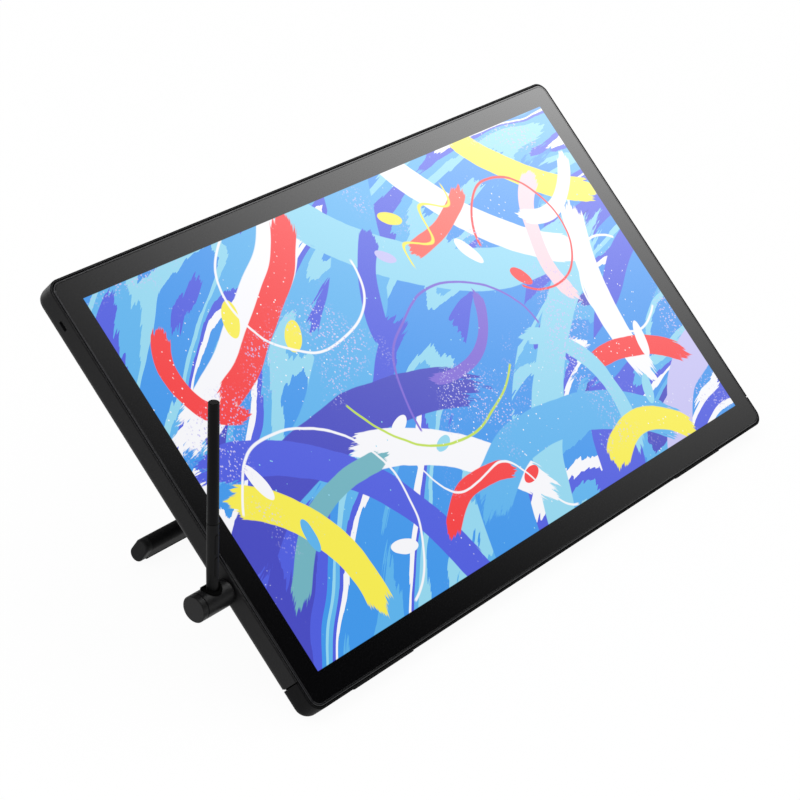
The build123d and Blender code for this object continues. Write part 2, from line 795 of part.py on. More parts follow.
# Bottom rail
rail_tongue = seam_gap - layer_gap
with BuildPart() as bottom_rail:
    add(case.part)
    lower_side = Plane(
        origin=slab_point(0, seam_v - seam_gap / 2, 0), x_dir=slab.x_dir, z_dir=slab.y_dir
    )
    with BuildSketch(edge_at(0, seam_v - seam_gap / 2, (shield_back_w + inner_back_w) / 2)):
        Rectangle(slab_width - wall, shield_back_w - inner_back_w - 2 * layer_gap)
    extrude(amount=-wall)
    add(block.part, mode=Mode.INTERSECT)
    split(bisect_by=lower_side, keep=Keep.BOTTOM)
    with BuildSketch(edge_at(0, seam_v - seam_gap / 2, (shield_back_w + inner_back_w) / 2)):
        Rectangle(slab_width - 2 * seam_tongue_border, shield_back_w - inner_back_w - 2 * seam_inset)
    extrude(amount=rail_tongue)
    with BuildSketch(flat_at(inner_back_w)):
        with Locations((0, rail_screw_v)):
            with GridLocations(rail_screw_pitch, rail_height, rail_screw_count, 1):
                Circle(boss_radius)
    extrude(amount=boss_height)
    for place_x in (-foot_spread / 2, foot_spread / 2):
        seat = ring_band(
            side_at(x=place_x - foot_length / 2),
            (rail_arc_v, rail_arc_w),
            back_edge_radius - foot_depth,
            back_edge_radius + overrun,
            foot_middle_angle,
            foot_arc_angle,
        )
        extrude(to_extrude=seat, amount=foot_length, mode=Mode.SUBTRACT)
    with Locations(back_at(v=rail_screw_v)):
        with GridLocations(rail_screw_pitch, rail_height, rail_screw_count, 1):
            CounterBoreHole(
                cover_screw_radius + screw_clearance,
                cover_screw_head_radius + screw_clearance,
                cover_screw_head_height,
                wall + boss_height,
            )
bottom_rail.part.label = "bottom_rail"
export_step(bottom_rail.part, "parts/bottom_rail.step")

# Rubber feet under the rail, each with a flat on the table
table_side = Plane.XY
with BuildPart() as rail_feet:
    for place_x in (-foot_spread / 2, foot_spread / 2):
        pad = ring_band(
            side_at(x=place_x - foot_length / 2),
            (rail_arc_v, rail_arc_w),
            back_edge_radius - foot_depth,
            back_edge_radius + foot_proud,
            foot_middle_angle,
            foot_arc_angle,
        )
        extrude(to_extrude=pad, amount=foot_length)
    split(bisect_by=table_side, keep=Keep.TOP)
rail_feet.part.label = "rail_feet"
export_step(rail_feet.part, "parts/rail_feet.step")

# Screws of the back
with BuildPart() as cover_screws:
    for column in range(cover_screw_columns):
        place_x = (column - (cover_screw_columns - 1) / 2) * cover_screw_column_pitch
        for place_v in (cover_middle_v - cover_screw_rows / 2, cover_middle_v + cover_screw_rows / 2):
            add(
                screw_shape(
                    back_at(x=place_x, v=place_v),
                    cover_screw_radius,
                    cover_screw_head_radius,
                    cover_screw_head_height,
                    wall + boss_height,
                )
            )
cover_screws.part.label = "cover_screws"
export_step(cover_screws.part, "parts/cover_screws.step")
with BuildPart() as rail_screws:
    for number in range(rail_screw_count):
        place_x = (number - (rail_screw_count - 1) / 2) * rail_screw_pitch
        add(
            screw_shape(
                back_at(x=place_x, v=rail_screw_v),
                cover_screw_radius,
                cover_screw_head_radius,
                cover_screw_head_height,
                wall + boss_height,
            )
        )
rail_screws.part.label = "rail_screws"
export_step(rail_screws.part, "parts/rail_screws.step")

# Threaded inserts for a monitor arm
with BuildPart() as arm_inserts:
    with BuildSketch(back_at()):
        with GridLocations(arm_pattern, arm_pattern, 2, 2):
            Circle(insert_radius)
            Circle(insert_bore, mode=Mode.SUBTRACT)
    extrude(amount=-insert_length)
arm_inserts.part.label = "arm_inserts"
export_step(arm_inserts.part, "parts/arm_inserts.step")

# Plate that stiffens the lock slot from inside
with BuildPart() as lock_plate:
    with BuildSketch(left_at(lock_v, -lock_setback, left_x + wall)):
        Rectangle(lock_length + 2 * lock_plate_border, lock_width + 2 * lock_plate_border)
        RectangleRounded(lock_length, lock_width, lock_width * lock_corner_share, mode=Mode.SUBTRACT)
    extrude(amount=-lock_plate_thickness)
lock_plate.part.label = "lock_plate"
export_step(lock_plate.part, "parts/lock_plate.step")

# Buttons on the top edge and the board under them
flange_top_v = slab_height / 2 - wall - layer_gap
stem_end_v = flange_top_v - button_flange - button_stem_length
button_board_v = stem_end_v - button_travel - button_board_thickness
for number, name in enumerate(("power_button", "brighter_button", "dimmer_button")):
    place_x = button_x - number * button_pitch
    with BuildPart() as button:
        with BuildSketch(edge_at(place_x, flange_top_v - button_flange, -button_setback)):
            SlotOverall(button_length + 2 * button_flange_border, button_width + 2 * button_flange_border)
        extrude(amount=button_flange)
        with BuildSketch(edge_at(place_x, flange_top_v - button_flange, -button_setback)):
            SlotOverall(button_length - 2 * button_clearance, button_width - 2 * button_clearance)
        extrude(amount=button_flange + layer_gap + wall + button_proud)
        cap = button.faces().sort_by(Axis(slab.origin, slab.y_dir))[-1]
        fillet(cap.edges(), button_proud / 2)
        with BuildSketch(edge_at(place_x, stem_end_v, -button_setback)):
            Circle(button_stem_radius)
        extrude(amount=button_stem_length)
    button.part.label = name
    export_step(button.part, "parts/" + name + ".step")
with BuildPart() as button_board:
    middle_w = (inner_back_w + shield_back_w) / 2
    with BuildSketch(edge_at(button_group_x, button_board_v, middle_w)):
        Rectangle(2 * button_pitch + 2 * button_length, shield_back_w - inner_back_w - 4 * layer_gap)
    extrude(amount=-button_board_thickness)
    with BuildSketch(edge_at(button_group_x, button_board_v, -button_setback)):
        with GridLocations(button_pitch, button_width, 3, 1):
            Rectangle(button_width, button_width)
    extrude(amount=button_board_thickness - 2 * layer_gap)
button_board.part.label = "button_board"
export_step(button_board.part, "parts/button_board.step")

# Bush of the pen holder in the left side
with BuildPart() as holder_bush:
    with BuildSketch(left_at(holder_v, -holder_setback, left_x + wall)):
        Circle(bush_flange_radius)
    extrude(amount=-bush_flange_thickness)
    add(hollow.part, mode=Mode.INTERSECT)
    with BuildSketch(left_at(holder_v, -holder_setback)):
        Circle(bush_radius)
    extrude(amount=-wall - bush_flange_thickness)
    add(block.part, mode=Mode.INTERSECT)
    with BuildSketch(left_at(holder_v, -holder_setback)):
        Circle(spindle_radius + spindle_clearance)
    extrude(amount=-wall - bush_flange_thickness, mode=Mode.SUBTRACT)
holder_bush.part.label = "holder_bush"
export_step(holder_bush.part, "parts/holder_bush.step")

# Hinge brackets, pins, washers and screws, one set on each side
pin_length = ear_gap + 2 * ear_thickness
for name, side in (("left", -1), ("right", 1)):
    middle_x = side * half_spread
    with BuildPart() as bracket:
        with BuildSketch(back_at(x=middle_x, v=bracket_mid_v)):
            RectangleRounded(bracket_width, bracket_height, bracket_corner)
        extrude(amount=bracket_thickness)
        for ear_side in (-1, 1):
            ear_x = middle_x + ear_side * (ear_gap + ear_thickness) / 2
            with BuildSketch(side_at(x=ear_x - ear_thickness / 2)):
                with Locations((hinge_v, hinge_w)):
                    Circle(ear_radius)
                with Locations((bracket_low_v + ear_foot / 2, back_w - bracket_thickness / 2)):
                    Rectangle(ear_foot, bracket_thickness)
                make_hull()
            extrude(amount=ear_thickness)
        with BuildSketch(side_at(x=middle_x)):
            with Locations((hinge_v, hinge_w)):
                Circle(pin_radius + pin_clearance)
        extrude(amount=pin_length / 2 + overrun, both=True, mode=Mode.SUBTRACT)
        with Locations(back_at(x=middle_x, v=bracket_mid_v, w=back_w - bracket_thickness)):
            with GridLocations(bracket_screw_x, bracket_screw_v, 2, 2):
                CounterBoreHole(
                    bracket_screw_radius + screw_clearance,
                    bracket_screw_head_radius + screw_clearance,
                    bracket_screw_head_height,
                    bracket_thickness,
                )
    bracket.part.label = "hinge_bracket_" + name
    export_step(bracket.part, "parts/hinge_bracket_" + name + ".step")
with BuildPart() as bracket_screws:
    for middle_x in (-half_spread, half_spread):
        for along in (-bracket_screw_x / 2, bracket_screw_x / 2):
            for up in (-bracket_screw_v / 2, bracket_screw_v / 2):
                face = back_at(x=middle_x + along, v=bracket_mid_v + up, w=back_w - bracket_thickness)
                add(
                    screw_shape(
                        face,
                        bracket_screw_radius,
                        bracket_screw_head_radius,
                        bracket_screw_head_height,
                        bracket_screw_length,
                    )
                )
bracket_screws.part.label = "bracket_screws"
export_step(bracket_screws.part, "parts/bracket_screws.step")
with BuildPart() as hinge_pins:
    for side in (-1, 1):
        outer_x = side * (half_spread + pin_length / 2)
        with BuildSketch(side_at(outer_x, hinge_v, hinge_w)):
            Circle(pin_radius)
        extrude(amount=-side * pin_length)
        with BuildSketch(side_at(outer_x, hinge_v, hinge_w)):
            Circle(pin_head_radius)
        extrude(amount=side * pin_head_height)
hinge_pins.part.label = "hinge_pins"
export_step(hinge_pins.part, "parts/hinge_pins.step")
with BuildPart() as friction_washers:
    for middle_x in (-half_spread, half_spread):
        for side in (-1, 1):
            start_x = middle_x + side * (arm_width_top / 2 + washer_clearance)
            with BuildSketch(side_at(start_x, hinge_v, hinge_w)):
                Circle(washer_radius)
                Circle(pin_radius + pin_clearance, mode=Mode.SUBTRACT)
            extrude(amount=side * washer_thickness)
friction_washers.part.label = "friction_washers"
export_step(friction_washers.part, "parts/friction_washers.step")

# The leg, drawn along its own length p and thickness q from the hinge
leg_dir = -cos(radians(leg_opening_angle)) * up_slab - sin(radians(leg_opening_angle)) * out_of_glass
leg_out = slab.x_dir.cross(leg_dir)
half_thickness = bar_thickness / 2
bar_near = leg_length - bar_width / 2
strip_middle = bar_near + bar_width - half_thickness


def leg_side_at(x):
    """A plane across the leg, whose own directions are p and q."""
    return Plane(origin=slab_point(x, hinge_v, hinge_w), x_dir=leg_dir, z_dir=slab.x_dir)


def leg_face_at(x, p=0, q=0):
    """A plane parallel to the leg's broad face, whose own directions are x and p."""
    origin = slab_point(x, hinge_v, hinge_w) + p * leg_dir + q * leg_out
    return Plane(origin=origin, x_dir=slab.x_dir, z_dir=leg_out)


tongue_thickness = bar_thickness - 2 * bar_wall - 2 * tongue_clearance
tongue_width = arm_width_foot - 2 * arm_edge
tongue_end = bar_near + tongue_length
arm_screw_p = bar_near + tongue_length - arm_screw_head_radius - arm_edge
for name, middle_x in (("left", -half_spread), ("right", half_spread)):
    with BuildPart() as arm:
        with BuildSketch(leg_face_at(middle_x)):
            with BuildLine():
                Polyline(
                    (-arm_width_top / 2, 0),
                    (arm_width_top / 2, 0),
                    (arm_width_foot / 2, bar_near),
                    (-arm_width_foot / 2, bar_near),
                    close=True,
                )
            make_face()
        extrude(amount=half_thickness, both=True)
        long_edges = arm.edges().filter_by(lambda edge: edge.length > leg_length / 2)
        fillet(long_edges, arm_edge)
        with BuildSketch(leg_side_at(middle_x)):
            Circle(half_thickness)
        extrude(amount=arm_width_top / 2, both=True)
        # A channel under the arm with two cross ribs left standing
        with BuildSketch(leg_face_at(middle_x, q=-half_thickness)):
            with BuildLine():
                Polyline(
                    (-arm_width_top / 2 + arm_rib, bar_thickness),
                    (arm_width_top / 2 - arm_rib, bar_thickness),
                    (arm_width_foot / 2 - arm_rib, bar_near - bar_thickness),
                    (-arm_width_foot / 2 + arm_rib, bar_near - bar_thickness),
                    close=True,
                )
            make_face()
            with Locations((0, bar_near * low_rib_share), (0, bar_near * high_rib_share)):
                Rectangle(arm_width_top, arm_rib, mode=Mode.SUBTRACT)
        extrude(amount=bar_thickness - arm_web, mode=Mode.SUBTRACT)
        with BuildSketch(leg_face_at(middle_x, p=(bar_near + tongue_end) / 2)):
            Rectangle(tongue_width, tongue_length)
        extrude(amount=tongue_thickness / 2, both=True)
        with Locations(leg_face_at(middle_x, p=arm_screw_p)):
            with GridLocations(arm_screw_pitch, arm_screw_pitch, 2, 1):
                Hole(arm_screw_radius + screw_clearance)
        with BuildSketch(leg_side_at(middle_x)):
            Circle(pin_radius + pin_clearance)
        extrude(amount=arm_width_top, both=True, mode=Mode.SUBTRACT)
    arm.part.label = "stand_arm_" + name
    export_step(arm.part, "parts/stand_arm_" + name + ".step")

# Foot bar: a flat oval tube between two end caps
tube_length = bar_length - 2 * bar_cap_thickness
with BuildPart() as foot_bar:
    with BuildSketch(leg_side_at(0)):
        with Locations((leg_length, 0)):
            SlotOverall(bar_width, bar_thickness)
            SlotOverall(bar_width - 2 * bar_wall, bar_thickness - 2 * bar_wall, mode=Mode.SUBTRACT)
    extrude(amount=tube_length / 2, both=True)
    for middle_x in (-half_spread, half_spread):
        with BuildSketch(leg_face_at(middle_x, p=bar_near)):
            Rectangle(tongue_width + 2 * tongue_clearance, bar_thickness)
        extrude(amount=tongue_thickness / 2 + tongue_clearance, both=True, mode=Mode.SUBTRACT)
        with Locations(leg_face_at(middle_x, p=arm_screw_p, q=half_thickness)):
            with GridLocations(arm_screw_pitch, arm_screw_pitch, 2, 1):
                CounterBoreHole(
                    arm_screw_radius + screw_clearance,
                    arm_screw_head_radius + screw_clearance,
                    arm_screw_head_height - layer_gap,
                    bar_thickness / 2,
                )
    seat = ring_band(
        leg_side_at(-strip_length / 2),
        (strip_middle, 0),
        half_thickness - strip_depth,
        half_thickness + overrun,
        0,
        strip_arc_angle,
    )
    extrude(to_extrude=seat, amount=strip_length, mode=Mode.SUBTRACT)
foot_bar.part.label = "foot_bar"
export_step(foot_bar.part, "parts/foot_bar.step")
for name, side in (("left", -1), ("right", 1)):
    with BuildPart() as foot_cap:
        with BuildSketch(leg_side_at(side * tube_length / 2)):
            with Locations((leg_length, 0)):
                SlotOverall(bar_width, bar_thickness)
        extrude(amount=side * bar_cap_thickness)
        end_face = foot_cap.faces().sort_by(Axis.X)[-1 if side > 0 else 0]
        fillet(end_face.edges(), bar_cap_edge)
        with BuildSketch(leg_side_at(side * tube_length / 2)):
            with Locations((leg_length, 0)):
                SlotOverall(
                    bar_width - 2 * bar_wall - 2 * tongue_clearance,
                    bar_thickness - 2 * bar_wall - 2 * tongue_clearance,
                )
        extrude(amount=-side * bar_cap_thickness)
    foot_cap.part.label = "foot_cap_" + name
    export_step(foot_cap.part, "parts/foot_cap_" + name + ".step")
with BuildPart() as foot_strip:
    strip = ring_band(
        leg_side_at(-strip_length / 2),
        (strip_middle, 0),
        half_thickness - strip_depth,
        half_thickness + strip_proud,
        0,
        strip_arc_angle,
    )
    extrude(to_extrude=strip, amount=strip_length)
    split(bisect_by=table_side, keep=Keep.TOP)
foot_strip.part.label = "foot_strip"
export_step(foot_strip.part, "parts/foot_strip.step")
with BuildPart() as arm_screws:
    for middle_x in (-half_spread, half_spread):
        for along in (-arm_screw_pitch / 2, arm_screw_pitch / 2):
            add(
                screw_shape(
                    leg_face_at(middle_x + along, p=arm_screw_p, q=half_thickness),
                    arm_screw_radius,
                    arm_screw_head_radius,
                    arm_screw_head_height - layer_gap,
                    bar_thickness - bar_wall - tongue_clearance,
                )
            )
arm_screws.part.label = "arm_screws"
export_step(arm_screws.part, "parts/arm_screws.step")

# Pen holder, drawn outwards from the left side
root_x = left_x - holder_root_gap
cap_x = left_x - holder_reach + holder_cap_length
holder_out = -slab.x_dir
turn = radians(holder_turn_angle)
pen_dir = sin(turn) * up_slab + cos(turn) * out_of_glass
pen_back = pen_dir.cross(slab.x_dir)
hole_x = left_x - pen_hole_from_side
holder_floor = pen_floor - holder_radius


def holder_at(x):
    """A plane that faces out along the holder."""
    return Plane(origin=slab_point(x, holder_v, -holder_setback), x_dir=up_slab, z_dir=holder_out)


def hole_at(height):
    """A plane across the pen hole, at a height above the holder's middle."""
    origin = slab_point(hole_x, holder_v, -holder_setback) + height * pen_dir
    return Plane(origin=origin, x_dir=slab.x_dir, z_dir=pen_dir)


hole_outer = pen_hole_radius + liner_thickness
liner_low = holder_radius - liner_floor
with BuildPart() as holder_body:
    with BuildSketch(holder_at(root_x)):
        Circle(holder_radius)
    extrude(amount=root_x - cap_x - holder_groove_width)
    root_face = holder_body.faces().sort_by(Axis.X)[-1]
    fillet(root_face.edges(), holder_root_fillet)
    with BuildSketch(holder_at(cap_x + holder_groove_width)):
        Circle(holder_radius - holder_groove_depth)
    extrude(amount=holder_groove_width)
    with BuildSketch(hole_at(-liner_low)):
        Circle(hole_outer)
    extrude(amount=2 * holder_radius, mode=Mode.SUBTRACT)
    with BuildSketch(hole_at(holder_floor)):
        Circle(pen_tip_bore)
    extrude(amount=holder_radius, mode=Mode.SUBTRACT)
    with BuildSketch(holder_at(root_x)):
        Circle(spindle_radius)
    extrude(amount=spindle_in_holder, mode=Mode.SUBTRACT)
    with BuildSketch(holder_at(cap_x)):
        Circle(spindle_radius + tongue_clearance)
    extrude(amount=-holder_cap_length / 2, mode=Mode.SUBTRACT)
holder_body.part.label = "holder_body"
export_step(holder_body.part, "parts/holder_body.step")
with BuildPart() as holder_cap:
    with BuildSketch(holder_at(cap_x)):
        Circle(holder_radius)
    extrude(amount=holder_cap_length)
    end_face = holder_cap.faces().sort_by(Axis.X)[0]
    chamfer(end_face.edges(), holder_cap_chamfer)
    with BuildSketch(holder_at(cap_x)):
        Circle(spindle_radius)
    extrude(amount=-holder_cap_length / 2 + layer_gap)
holder_cap.part.label = "holder_cap"
export_step(holder_cap.part, "parts/holder_cap.step")
with BuildPart() as holder_liner:
    with BuildSketch(hole_at(-liner_low)):
        Circle(hole_outer - pin_clearance)
        Circle(pen_hole_radius, mode=Mode.SUBTRACT)
    extrude(amount=2 * holder_radius)
    with BuildSketch(holder_at(left_x)):
        Circle(holder_radius + liner_proud)
    extrude(amount=holder_reach, mode=Mode.INTERSECT)
    collar = holder_liner.faces().sort_by(Axis(hole_at(0).origin, pen_dir))[-1]
    fillet(collar.edges(), pen_hole_lip)
holder_liner.part.label = "holder_liner"
export_step(holder_liner.part, "parts/holder_liner.step")
clip_x = left_x + wall + bush_flange_thickness + clip_gap
with BuildPart() as holder_spindle:
    with BuildSketch(holder_at(clip_x + 2 * clip_thickness)):
        Circle(spindle_radius)
    extrude(amount=clip_x + 2 * clip_thickness - root_x + spindle_in_holder)
holder_spindle.part.label = "holder_spindle"
export_step(holder_spindle.part, "parts/holder_spindle.step")
with BuildPart() as holder_clip:
    with BuildSketch(holder_at(clip_x + clip_thickness)):
        Circle(clip_radius)
        Circle(spindle_radius, mode=Mode.SUBTRACT)
    extrude(amount=clip_thickness)
holder_clip.part.label = "holder_clip"
export_step(holder_clip.part, "parts/holder_clip.step")

# Pen, drawn up from the tip of its nib
nib_point = hole_at(holder_floor + layer_gap).origin + pen_shift * slab.x_dir
pen_axis = Axis(nib_point, pen_dir)


def pen_at(z):
    """A plane across the pen."""
    return Plane(origin=nib_point + z * pen_dir, x_dir=slab.x_dir, z_dir=pen_dir)


def pen_front_at(z):
    """A plane through the pen's middle that faces its buttons, drawn along the pen."""
    return Plane(origin=nib_point + z * pen_dir, x_dir=pen_dir, z_dir=-pen_back)


pen_section = Plane(origin=nib_point, x_dir=slab.x_dir, z_dir=-pen_back)
nib_bore = pen_nib_radius + pen_nib_clearance
shell_inner = pen_grip_radius - pen_shell
coil_z = pen_nose_length + pen_seam
button_places = [
    pen_button_from_nib - pen_button_pitch / 2,
    pen_button_from_nib + pen_button_pitch / 2,
]
with BuildPart() as pen_grip:
    with BuildSketch(pen_section):
        with BuildLine():
            Polyline(
                (nib_bore, pen_nib_reach),
                (pen_nose_radius, pen_nib_reach),
                (pen_grip_radius - pen_seam, pen_nose_length),
                (pen_grip_radius, 2 * pen_nose_length),
                (pen_grip_radius, pen_grip_length),
                (shell_inner, pen_grip_length),
                (shell_inner, pen_nose_length),
                (nib_bore, pen_nose_length / 2),
                close=True,
            )
        make_face()
    revolve(axis=pen_axis)
    for z in button_places:
        with BuildSketch(pen_front_at(z)):
            SlotOverall(pen_button_length, pen_button_width)
        extrude(amount=pen_grip_radius + overrun, mode=Mode.SUBTRACT)
pen_grip.part.label = "pen_grip"
export_step(pen_grip.part, "parts/pen_grip.step")
tail_z = pen_length - pen_tail_length
spigot_radius = shell_inner - pin_clearance
with BuildPart() as pen_barrel:
    with BuildSketch(pen_section):
        with BuildLine():
            Polyline(
                (pen_grip_radius - pen_seam, pen_grip_length + pen_seam),
                (pen_grip_radius, pen_grip_length + 2 * pen_seam),
                (pen_tail_radius, tail_z),
                (pen_tail_radius - pen_shell, tail_z),
                (pen_tail_radius - pen_shell, pen_grip_length - pen_joint_overlap),
                (spigot_radius, pen_grip_length - pen_joint_overlap),
                (spigot_radius, pen_grip_length + pen_seam),
                close=True,
            )
        make_face()
    revolve(axis=pen_axis)
pen_barrel.part.label = "pen_barrel"
export_step(pen_barrel.part, "parts/pen_barrel.step")
with BuildPart() as pen_tail:
    with BuildSketch(pen_at(tail_z)):
        Circle(pen_tail_radius - pin_clearance)
    extrude(amount=pen_tail_length)
    tail_face = pen_tail.faces().sort_by(Axis(nib_point, pen_dir))[-1]
    chamfer(tail_face.edges(), 2 * pen_seam)
    with BuildSketch(pen_at(tail_z)):
        Circle(pen_tail_radius - pen_shell - pin_clearance)
    extrude(amount=-pen_tail_length)
pen_tail.part.label = "pen_tail"
export_step(pen_tail.part, "parts/pen_tail.step")
with BuildPart() as pen_coil:
    with BuildSketch(pen_at(coil_z)):
        Circle(pen_coil_radius)
        Circle(nib_bore, mode=Mode.SUBTRACT)
    extrude(amount=pen_coil_length)
pen_coil.part.label = "pen_coil"
export_step(pen_coil.part, "parts/pen_coil.step")
pen_board_z = pen_nib_length + pen_seam + pen_nib_travel
pen_board_end = pen_grip_length - pen_joint_overlap - pen_seam
with BuildPart() as pen_board:
    with BuildSketch(pen_section):
        with Locations((0, (pen_board_z + pen_board_end) / 2)):
            Rectangle(pen_board_width, pen_board_end - pen_board_z)
    extrude(amount=-pen_board_thickness)
pen_board.part.label = "pen_board"
export_step(pen_board.part, "parts/pen_board.step")
with BuildPart() as pen_nib:
    with BuildSketch(pen_at(0)):
        Circle(pen_nib_radius)
    extrude(amount=pen_nib_length)
    tip_face = pen_nib.faces().sort_by(Axis(nib_point, pen_dir))[0]
    fillet(tip_face.edges(), pen_nib_radius * nib_tip_share)
pen_nib.part.label = "pen_nib"
export_step(pen_nib.part, "parts/pen_nib.step")
flange_depth = shell_inner * flange_share
for name, z in zip(("lower", "upper"), button_places):
    with BuildPart() as pen_button:
        with BuildSketch(pen_front_at(z).offset(flange_depth - pen_button_flange)):
            SlotOverall(
                pen_button_length - 2 * pen_button_clearance, pen_button_width - 2 * pen_button_clearance
            )
        extrude(amount=pen_grip_radius)
        with BuildSketch(pen_at(z - pen_button_length)):
            Circle(pen_grip_radius + pen_button_proud)
        extrude(amount=2 * pen_button_length, mode=Mode.INTERSECT)
        with BuildSketch(pen_front_at(z).offset(flange_depth - pen_button_flange)):
            Rectangle(pen_button_length + pen_button_flange, pen_button_width + pen_button_flange)
        extrude(amount=pen_button_flange)
    pen_button.part.label = "pen_button_" + name
    export_step(pen_button.part, "parts/pen_button_" + name + ".step")
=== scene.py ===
# %% [markdown]
# # A graphics tablet with screen on its folding stand
# The CAD model comes in as a fixed frame: every part already has its real place and size.
# This script only dresses it. It gives each part a finish, adds the small pieces that CAD left out,
# puts a finer nib in the pen, and sets up a plain studio with a floor, soft light and a camera.

# %% Load the frame
import json
import math

import bpy
import numpy as np
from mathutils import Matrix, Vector


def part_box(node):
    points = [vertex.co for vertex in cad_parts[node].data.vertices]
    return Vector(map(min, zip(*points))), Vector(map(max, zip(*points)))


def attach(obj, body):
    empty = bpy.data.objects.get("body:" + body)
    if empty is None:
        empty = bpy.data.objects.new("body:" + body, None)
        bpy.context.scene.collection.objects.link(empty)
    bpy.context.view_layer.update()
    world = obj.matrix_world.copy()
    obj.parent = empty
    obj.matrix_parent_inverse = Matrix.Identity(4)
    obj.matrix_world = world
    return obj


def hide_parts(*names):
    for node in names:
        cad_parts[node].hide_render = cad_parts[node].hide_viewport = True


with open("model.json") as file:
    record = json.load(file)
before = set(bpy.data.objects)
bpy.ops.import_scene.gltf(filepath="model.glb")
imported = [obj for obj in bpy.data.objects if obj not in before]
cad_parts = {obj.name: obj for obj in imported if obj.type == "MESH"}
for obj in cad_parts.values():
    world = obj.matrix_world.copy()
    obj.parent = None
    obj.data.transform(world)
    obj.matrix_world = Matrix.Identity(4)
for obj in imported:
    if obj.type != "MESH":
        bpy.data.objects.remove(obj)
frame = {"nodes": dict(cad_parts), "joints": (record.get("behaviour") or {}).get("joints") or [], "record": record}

bpy.context.view_layer.update()

# %% [markdown]
# ## Directions on the slab
# The slab leans back, so its own directions are more useful than the room's: x to the right,
# v up the slab and w out of the glass. The record's mounts already hold them: the sockets open
# straight down the slab, and the holes for a monitor arm face straight out of the back. Reading
# them there keeps this script in step with the CAD model when the tilt changes. The origin of
# x, v and w is the middle of the slab's front.

# %% Directions and the middle of the slab's front
mounts = {mount["name"]: mount for mount in frame["record"]["mounts"]}
joints = {joint["name"]: joint for joint in frame["joints"]}
slab_depth = 0.021
across = np.array([1.0, 0.0, 0.0])
up_slab = -np.array(mounts["video_socket"]["axis"])
out_of_glass = -np.array(mounts["monitor_arm_pattern"]["axis"])
slab_middle = np.array(mounts["monitor_arm_pattern"]["pos_m"]) + slab_depth * out_of_glass
pen_dir = np.array(joints["pen_slide"]["axis"])


def on_slab(x, v, w):
    """The place, or an array of places, x across, v up the slab and w out of the glass:
    middle + x across + v up + w out."""
    x, v, w = (part[..., None] for part in np.broadcast_arrays(x, v, w))
    return slab_middle + x * across + v * up_slab + w * out_of_glass


print("slab middle", slab_middle.round(5), "tilt", round(math.degrees(math.asin(up_slab[2])), 2))

# %% [markdown]
# ## Shader maths as expressions
# A procedural finish is a long sum of small steps. Clicking them together as nodes hides the sum,
# so one small class wraps a socket and lets Python's own operators add the nodes. `1 - mask`
# then reads as it would on paper, and numbers alone never become nodes.


# %% A value in a shader
class Field:
    """A number or colour that varies over a surface. Each operator adds one Math node."""

    def __init__(self, paint, socket):
        self.paint = paint
        self.socket = socket

    def _math(self, operation, *values):
        return self.paint.add("ShaderNodeMath", {"operation": operation}, dict(enumerate(values)))

    def __add__(self, other):
        return self._math("ADD", self, other)

    def __sub__(self, other):
        return self._math("SUBTRACT", self, other)

    def __rsub__(self, other):
        return self._math("SUBTRACT", other, self)

    def __mul__(self, other):
        return self._math("MULTIPLY", self, other)

    def __truediv__(self, other):
        return self._math("DIVIDE", self, other)

    def __pow__(self, other):
        return self._math("POWER", self, other)

    def __abs__(self):
        return self._math("ABSOLUTE", self)

    def __gt__(self, other):
        return self._math("GREATER_THAN", self, other)

    __radd__ = __add__
    __rmul__ = __mul__

    def at_least(self, other):
        return self._math("MAXIMUM", self, other)

    def at_most(self, other):
        return self._math("MINIMUM", self, other)

    def step(self, low, high):
        """0 up to low and 1 from high on, with a smooth rise between them. Where low is the larger,
        it runs the other way: 1 below high and 0 above low."""
        settings = {"interpolation_type": "SMOOTHSTEP"}
        inputs = {"Value": self, "From Min": low, "From Max": high}
        return self.paint.add("ShaderNodeMapRange", settings, inputs)


print("a value's own methods", [name for name in vars(Field) if not name.startswith("_")])

# %% [markdown]
# A material is one tree of such nodes with a single surface shader at its end. The next class
# holds the tree and adds every node through one method: type first, then settings, then sockets.


